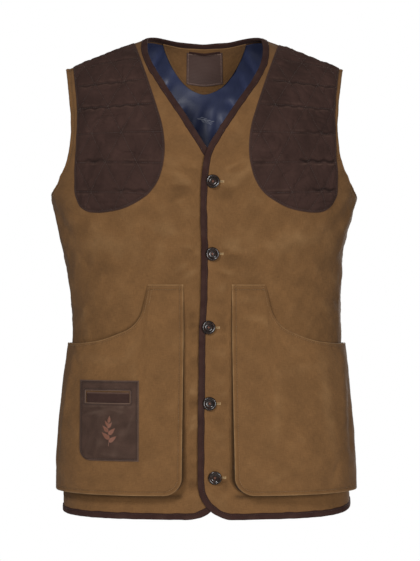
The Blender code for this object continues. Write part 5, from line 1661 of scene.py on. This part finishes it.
def bound(name, piece, edge, towards, node):
    """Tape folded over an edge and stitched through: edge is the cloth's edge in (a, v). It is
    flatter where the left front presses on it."""
    face = FACE[piece]
    edge = evenly(edge, face, 0.0026)
    points, normals = cloth(piece, *edge.T)
    inward = inset(face, edge, 0.003, towards)
    out = points - cloth(piece, *inward.T)[0]
    out = unit(out - normals * (out * normals).sum(-1, keepdims=True))
    run = lengths(points)
    wide = BINDING_WIDTH + 0.0003 * waves(run, run * 0, 71, 0.06, 0.014)
    pressed = (piece == "under") * fade(-points[:, 0], -0.014, -0.002) * fade(points[:, 2], -0.28, -0.25)
    swell = (1 + 0.16 * waves(run, run * 0, 72, 0.045, 0.01)) * (1 - 0.45 * pressed)
    across = (1.0, 0.93, 0.84, 0.76, 0.68, 0.5, 0.3, 0.12, 0.0)
    high = (0.25, 0.85, 1.02, 0.72, 1.0, 1.12, 1.15, 1.12, 1.02)

    def row(share):
        line = inset(face, edge, wide * share, towards)
        return cloth(piece, *line.T)

    top, bottom = [], []
    for share, height in zip(across, high):
        base, up = row(share)
        lift = (0.0003 + 0.001 * height * swell) / 1.12 if height > 0.5 else np.full(len(run), 0.00022)
        top.append(base + up * np.reshape(lift, (-1, 1)))
        bottom.append(base - up * (CANVAS + np.reshape(lift, (-1, 1))))
    nose = []
    for turn in (60, 30, 0, -30, -60):
        reach = 0.0013 * cos(radians(turn)) * swell
        rise = (CANVAS / 2 + 0.001) * sin(radians(turn)) - CANVAS / 2
        nose.append(points + out * np.reshape(reach, (-1, 1)) + normals * rise)
    inside = []
    for share, depth in ((1.0, -CANVAS - 0.00012), (0.0, -CANVAS - 0.00012), (0.0, 0.00012), (1.0, 0.00012)):
        base, up = row(share)
        inside.append(base + up * depth + (out * 0.0002 if share == 0 else 0))
    profiles = np.stack(top + nose + bottom[::-1] + inside, axis=1)
    # Painted shade where the tape meets the cloth and in its stitching groove; paler towards the fold, partly
    # from rubbing and partly as painted highlight
    painted_shade_and_pale = (-0.5, 0.1, 0.1, -0.7, 0.1, 0.2, 0.3, 0.3, 0.35, 0.5, 0.6, 0.5, 0.3, 0.2)
    painted_shade_and_pale = np.array(painted_shade_and_pale + (0.1,) * 13)
    patchy = np.clip(0.45 + 0.5 * waves(run, run * 0, 73, 0.07, 0.012), 0, 1)
    wear_and_painted_light = np.where(painted_shade_and_pale < 0, painted_shade_and_pale, painted_shade_and_pale * 0.25 * patchy[:, None])
    made = swept(name, node, profiles, tape(), wear_and_painted_light)
    base, up = row(0.76)
    rows = [(base + up * 0.00105, up), (base - up * (CANVAS + 0.00105), -up)]
    sewn = stitches(name + "_stitching", rows, tape_thread(), "binding", 0.003, 0.00045)


class GILET_OT_bindings(bpy.types.Operator):
    """Make the folded tape round the neck, the front edges and the hem"""

    bl_idname = "gilet.bindings"
    bl_label = "Bindings"

    def execute(self, context):
        for piece, node in (("over", "binding_front_left"), ("under", "binding_front_right")):
            a, v = front_grid(piece, 0.004)[:2]
            grid = np.stack([a, v], -1)
            edge = np.concatenate([grid[0, ::-1], grid[1:, 0]])
            side = SIDE[piece]
            bound(node.replace("binding", "tape"), piece, edge, (side * 0.9, 0.7), node)
        a, v = back_grid(0.004)[:2]
        grid = np.stack([a, v], -1)
        bound("tape_hem_back", "back", grid[0], (0.0, 0.8), "binding_hem_back")
        neck = grid[-1][np.abs(grid[-1, :, 0]) <= NECK_A + 1e-6]
        bound("tape_neck_back", "back", neck, (0.0, 0.8), "binding_neck_back")
        return {"FINISHED"}


# Inside the neck

def from_neck(across, down):
    a = np.arcsin(np.clip(np.abs(across) / TOP_HALF_WIDTH, 0, 1) ** (SQUARENESS / 2)) * np.sign(across)
    v_table = np.linspace(0.8, 2, 1500)
    run = lengths(form(1, radians(8), v_table))
    return a, np.interp(np.interp(neck_top(a), v_table, run) - down, run, v_table)


def lining_depth(a, z):
    """How far in the lining hangs: it is tight at the facing and falls in folds."""
    across = round_cloth(1, a)
    down = np.clip((0.02 - z) / 0.1, 0, 1)
    swing = 0.5 + 0.3 * waves(across, z * 0.5, 81, 0.07, 0.022)
    folds = np.clip(swing, 0, 1) * 0.0035 * down
    for start, middle, *rest in LINING_CREASES:
        folds = folds + crease(across - start, z - middle, *rest)
    past_facing = (np.hypot(across / FACING_HALF, np.minimum(z - 0.014, 0) / FACING_DROP) - 1) * FACING_HALF
    folds = np.minimum(folds, 0.0018 + 0.3 * np.clip(past_facing, 0, 0.02))
    near_edge = fade(np.abs(across), 0.2, 0.27) * fade(z, 0.006, 0.02)
    return 0.0021 + np.clip(folds, 0, 0.0062) * near_edge


def satin_lining():
    a, v, _, to_top = back_grid(0.0048)
    keep = (np.arange(len(a)) >= len(RINGS) - 1) & (to_top[:, 0] >= 0.0106)
    a, v = a[keep], v[keep]
    points, normals = cloth("back", a, v)
    depth = lining_depth(a, form(1, a, v)[..., 2])
    outer = points - normals * (depth - 0.0002)[..., None]
    inner = points - normals * (depth + 0.0006)[..., None]
    # Painted light and shade on the folds: lighter on the crests that hang furthest in, darker in the hollows
    wear_and_painted_light = np.clip((depth - 0.0046) / 0.0024, -1, 1)
    names = "satin_lining_back", "lining_back", "satin"
    made = shell(*names, inner, outer, cloth_uv(points), satin_finish(), wear_and_painted_light)
    printed_sprigs()
    declare_sheet(made, points)


def printed_sprigs():
    """Small pale printed sprigs, far apart and turned all ways."""
    rng = np.random.default_rng(stage_settings().seed)
    paths = []
    spots = [(x, z) for x in np.arange(-0.124, 0.13, 0.062) for z in np.arange(-0.584, -0.03, 0.062)]
    for x, z in spots:
        x, z = x + rng.uniform(-0.004, 0.004), z + rng.uniform(-0.004, 0.004)
        turn = rng.uniform(-0.5, 0.5)
        along = np.array((cos(turn), sin(turn)))
        off = np.array((-along[1], along[0]))
        base = np.array((x, z))
        lines = [np.array([base - along * 0.013, base + off * 0.0012, base + along * 0.013])]
        for k in range(-3, 4):
            side = 1 if k % 2 else -1
            start = base + along * 0.003 * k + off * 0.0009
            tip = start + along * 0.0054 + off * side * 0.0032
            lines.append(np.array([start, start + along * 0.002 + off * side * 0.0024, tip]))
        for stroke in lines:
            a, v = spot(1, *stroke.T)
            points, normals = cloth("back", a, v)
            depth = lining_depth(a, form(1, a, v)[..., 2])
            paths.append((points - normals * (depth + 0.00058)[:, None], -normals))
    finish = thread_finish("white_discharge_print", tone("C9CEDB"), 0.6)
    strokes("printed_sprigs", paths, finish, "satin", 0.0008)


def inside_neck(across, down, depth):
    a, v = from_neck(across, down)
    points, normals = cloth("back", a, v, fine=False)
    return points - normals * np.broadcast_to(depth, np.shape(across))[..., None], normals


def neck_facing():
    turn = np.linspace(0, pi, 90)
    low = np.stack([
        FACING_HALF * np.cos(turn),
        BINDING_WIDTH - 0.001 + (FACING_DROP - BINDING_WIDTH) * np.abs(np.sin(turn)) ** FACING_ROUND,
    ], -1)
    across = np.linspace(-FACING_HALF, FACING_HALF, 60)[1:-1]
    top = BINDING_WIDTH - 0.001 - 0.0022 * bell(across, 0.035)
    outline = np.concatenate([low, np.stack([across, top], -1)])
    flat, faces = filled(outline, 0.0026)
    distance = to_outline(outline, flat)[0]
    near, normals = inside_neck(*flat.T, FACING_DEPTH)
    high = 0.0009 + sewn_edge(distance, 0.0028) + 0.0002 * waves(*flat.T, 91)
    far = near - normals * high[:, None]
    wear_and_painted_light = 0.35 * bell(distance - 0.0006, 0.001)
    names = "canvas_neck_facing", "neck_facing", "canvas"
    made = shell(*names, far, near, flat, canvas_finish(), wear_and_painted_light, faces=faces)
    path = soft_line(low[4:-4] * (1 - 0.0026 / 0.064), 0.002)
    points, normals = inside_neck(*path.T, FACING_DEPTH + 0.0011)
    sewn = stitches("canvas_neck_facing_stitching", [(points, -normals)], brown_thread(), "canvas", 0.003)


def neck_label():
    across = np.linspace(-LABEL_SIZE[0] / 2, LABEL_SIZE[0] / 2, 42)
    down = np.linspace(LABEL_DROP, LABEL_DROP + LABEL_SIZE[1], 42)
    across, down = np.meshgrid(across, down)
    curl = 0.0003 * waves(across, down, 95, 0.05, 0.02)
    near, normals = inside_neck(across, down, LABEL_DEPTH + curl * 0.4)
    far = near - normals * 0.0007
    names = "woven_neck_label", "neck_label", "label_cloth"
    made = shell(*names, far, near, np.stack([across, down], -1), label_finish())
    half, low, high = LABEL_SIZE[0] / 2 - 0.0022, LABEL_DROP + 0.0022, LABEL_DROP + LABEL_SIZE[1] - 0.0022
    x, d = straight_line([(-half, low), (half, low), (half, high), (-half, high), (-half, low)], 0.0015)
    points, normals = inside_neck(x, d, LABEL_DEPTH + 0.0008 + 0.00012 * waves(x, d, 95, 0.05, 0.02))
    finish = thread_finish("label_border_thread", tone("A98A78"))
    sewn = stitches("woven_neck_label_stitching", [(points, -normals)], finish, "label_cloth", 0.0024, 0.0008)


def hang_loop():
    """A flat folded tape, sewn down at both ends and bowed between."""
    across = np.linspace(-LOOP_SIZE[0] / 2, LOOP_SIZE[0] / 2, 40)
    bow = LOOP_BOW * np.cos(pi * across / LOOP_SIZE[0])
    turn = np.radians(np.arange(0, 360, 36))
    profiles = []
    for x, out in zip(across, bow):
        down = LOOP_DROP + LOOP_SIZE[1] / 2 + np.cos(turn) * LOOP_SIZE[1] / 2
        depth = LOOP_DEPTH + out + 0.0005 + 0.0005 * np.sin(turn)
        profiles.append(inside_neck(np.full(len(turn), x), down, depth)[0])
    made = swept("tape_hang_loop", "hang_loop", np.array(profiles), tape())


class GILET_OT_lining(bpy.types.Operator):
    """Make the satin lining, its sprigs, the neck facing, the bare label and the hang loop"""

    bl_idname = "gilet.lining"
    bl_label = "Lining and label"

    def execute(self, context):
        satin_lining()
        neck_facing()
        neck_label()
        hang_loop()
        return {"FINISHED"}


# Buttons

def on_front(x, z, lift):
    points, normals = cloth("over", *spot(-1, x, z))
    return points + normals * np.reshape(lift, (-1, 1)), normals


def buttonhole(x, z):
    """Close strokes on both sides of the slit, and a bar at its end."""
    start, end = x - 0.008, x + 0.015
    slit = np.arange(start, end, 0.0005)
    rows = [(at, z + side * 0.0009, side * 0.0006) for at in slit for side in (-1, 1)]
    rows += [(at, z, 0.0018) for at in np.arange(end, end + 0.0011, 0.0004)]
    rows = np.array(rows)
    height = rows[:, 1:2] + rows[:, 2:3] * np.array((-1, 0, 1))
    wide = np.repeat(rows[:, 0], 3)
    points, normals = on_front(wide, height.ravel(), np.tile((0.0001, 0.0004, 0.0001), len(rows)))
    return list(zip(points.reshape(-1, 3, 3), normals.reshape(-1, 3, 3)))


# A dark stroke along the slit: painted shade in its gap
def buttonhole_slit(x, z):
    return on_front(np.linspace(x - 0.008, x + 0.015, 12), z, 0.00005)


def turned_button():
    """A dished button with a rounded rim and four holes."""
    shape = bmesh.new()
    knots = lengths(np.array(BUTTON_PROFILE))
    at = np.linspace(0, knots[-1], 34)
    profile = np.array(BUTTON_PROFILE)
    radius = np.clip(smooth(knots, profile[:, 0], at), 0, 0.01)
    height = smooth(knots, profile[:, 1], at)
    radius[0] = radius[-1] = 0
    verts = [shape.verts.new((r, 0, h)) for r, h in zip(radius, height)]
    edges = [shape.edges.new(pair) for pair in zip(verts, verts[1:])]
    bmesh.ops.spin(shape, geom=verts + edges, cent=(0, 0, 0), axis=(0, 0, 1), angle=2 * pi, steps=40,
                   use_merge=True)
    bmesh.ops.remove_doubles(shape, verts=shape.verts, dist=1e-6)
    bmesh.ops.recalc_face_normals(shape, faces=shape.faces)
    mesh = bpy.data.meshes.new("button_pattern")
    shape.to_mesh(mesh)
    shape.free()
    blank_button = linked("button_blank", mesh)
    drills = bmesh.new()
    for k in range(4):
        made = bmesh.ops.create_cone(
            drills, cap_ends=True, segments=14, radius1=0.00085, radius2=0.00085, depth=0.02
        )
        turn = radians(45 + 90 * k)
        bmesh.ops.translate(drills, verts=made["verts"], vec=Vector((cos(turn), sin(turn), 0)) * 0.0019)
    drill_mesh = bpy.data.meshes.new("button_drills")
    drills.to_mesh(drill_mesh)
    drills.free()
    drill = linked("button_drills", drill_mesh)
    cut = blank_button.modifiers.new("holes", "BOOLEAN")
    cut.object = drill
    graph = bpy.context.evaluated_depsgraph_get()
    done = bpy.data.meshes.new_from_object(blank_button.evaluated_get(graph))
    bpy.data.objects.remove(blank_button)
    bpy.data.objects.remove(drill)
    done.materials.clear()
    done.materials.append(horn_finish())
    done.shade_smooth()
    done.set_sharp_from_angle(angle=radians(45))
    return done


class GILET_OT_buttons(bpy.types.Operator):
    """Make the horn buttons, their thread and their buttonholes"""

    bl_idname = "gilet.buttons"
    bl_label = "Buttons"

    def execute(self, context):
        pattern = turned_button()
        crosses, holes, slits = [], [], []
        for number, (x, z) in enumerate(BUTTONS, start=1):
            a, v = spot(-1, x, z)
            point, normal = cloth("over", a, v)
            reach = x - (edge_x("over", z) + BINDING_WIDTH)
            below = np.interp(reach, [0.0055, 0.0093], [0.0005, 0.0023])
            base = max(0.0, BINDING_OVER + SEAM - float(below)) if reach < 0.01 else 0.0
            turn = Vector(normal).to_track_quat("Z", "X").to_matrix().to_4x4()
            spin = Matrix.Rotation(radians(17 * number), 4, "Z")
            place = Matrix.Translation(Vector(point) + Vector(normal) * base) @ turn @ spin
            mesh = pattern.copy()
            mesh.transform(place)
            ready(linked(f"horn_button_{number}", mesh), f"button_{number}")
            for angle in (45, 135):
                c, s = cos(radians(angle)) * 0.0019, sin(radians(angle)) * 0.0019
                for shift in (-0.00022, 0.00022):
                    off = Vector((-s, c, 0)).normalized() * shift
                    rise = (0.0026, 0.0034, 0.0037, 0.0034, 0.0026)
                    reach_out = (-1.0, -0.75, 0.0, 0.75, 1.0)
                    path = [place @ (Vector((c * k, s * k, h)) + off) for k, h in zip(reach_out, rise)]
                    crosses.append((np.array(path), np.tile(normal, (5, 1))))
            holes += buttonhole(x, z)
            slits.append(buttonhole_slit(x, z))
        finish = thread_finish("button_thread", tone("7A4A38"))
        strokes("button_threads", crosses, finish, "button", 0.00055)
        finish = thread_finish("buttonhole_twist", trim_settings().buttonhole)
        strokes("buttonhole_stitches", holes, finish, "canvas", 0.00042)
        finish = thread_finish("buttonhole_shadow", tone("2B2118"))
        strokes("buttonhole_slits", slits, finish, "canvas", 0.00045)
        bpy.data.meshes.remove(pattern)
        return {"FINISHED"}


def white_studio(scene):
    """A white studio that gives less light than it shows, so that the cloth keeps its shading."""
    world = bpy.data.worlds.new("studio")
    world.use_nodes = True
    tree = world.node_tree
    seen = add(tree, "LightPath")
    shown = seen.outputs["Is Camera Ray"]
    strength = add(tree, "MapRange", {0: shown, 3: stage_settings().sky, 4: 1.0})
    shade = tree.nodes["Background"]
    shade.inputs["Color"].default_value = tone("FFFFFF")
    tree.links.new(strength.outputs[0], shade.inputs["Strength"])
    scene.world = world


class GILET_OT_stage(bpy.types.Operator):
    """Set up the floor, the lights and the camera"""

    bl_idname = "gilet.stage"
    bl_label = "Stage"

    def execute(self, context):
        settings = stage_settings()
        shape = bmesh.new()
        bmesh.ops.create_circle(shape, cap_ends=True, segments=96, radius=settings.floor_radius)
        bmesh.ops.translate(shape, verts=shape.verts, vec=(0, 0, settings.floor_height))
        mesh = bpy.data.meshes.new("floor")
        shape.to_mesh(mesh)
        shape.free()
        finish, _, shader = blank("matt_paper", Roughness=0.95, Specular_IOR_Level=0.1)
        shader.inputs["Base Color"].default_value = settings.floor
        mesh.materials.append(finish)
        linked("floor", mesh)
        white_studio(context.scene)
        lights = (
            ("key", (-1.0, -2.55, 0.85), 0.6, 0.97), ("fill", (0.9, -2.8, -0.45), 0.8, 0.97),
            ("behind", (1.1, 2.6, 0.3), 1.0, 1.3),
        )
        for name, place, size, share in lights:
            lamp = bpy.data.lights.new(name, "AREA")
            lamp.energy = settings.key * share
            lamp.size = size
            light = linked(name, lamp)
            light.location = place
            light.rotation_euler = (Vector((0, 0, -0.33)) - Vector(place)).to_track_quat("-Z", "Y").to_euler()
        camera = bpy.data.cameras.new("camera")
        camera.lens = settings.lens
        camera.sensor_width = 36.0
        view = linked("camera", camera)
        view.location = (0.0083, -settings.distance, -0.3406)
        view.rotation_euler = (pi / 2, 0, 0)
        context.scene.camera = view
        context.scene.view_settings.view_transform = "Standard"
        return {"FINISHED"}


class GILET_PT_panel(bpy.types.Panel):
    """The steps that build the gilet"""

    bl_idname = "GILET_PT_panel"
    bl_label = "Shooting gilet"
    bl_space_type = "VIEW_3D"
    bl_region_type = "UI"
    bl_category = "Gilet"

    def draw(self, context):
        for group in (cloth_settings(), trim_settings(), stage_settings()):
            box = self.layout.box()
            for name in group.__annotations__:
                box.prop(group, name)
        for step in STEPS:
            self.layout.operator(step.bl_idname)


STEPS = (
    GILET_OT_back, GILET_OT_fronts, GILET_OT_patches, GILET_OT_pockets, GILET_OT_small_pocket,
    GILET_OT_bindings, GILET_OT_lining, GILET_OT_buttons, GILET_OT_stage,
)
GROUPS = {"gilet_cloth": GiletClothSettings, "gilet_trim": GiletTrimSettings, "gilet_stage": GiletStageSettings}


def register():
    for name, group in GROUPS.items():
        bpy.utils.register_class(group)
        setattr(bpy.types.Scene, name, PointerProperty(type=group))
    for step in (*STEPS, GILET_PT_panel):
        bpy.utils.register_class(step)


def unregister():
    for step in (GILET_PT_panel, *reversed(STEPS)):
        bpy.utils.unregister_class(step)
    for name, group in reversed(GROUPS.items()):
        delattr(bpy.types.Scene, name)
        bpy.utils.unregister_class(group)


def main():
    register()
    for step in STEPS:
        section, name = step.bl_idname.split(".")
        getattr(getattr(bpy.ops, section), name)()


if __name__ == "__main__":
    main()
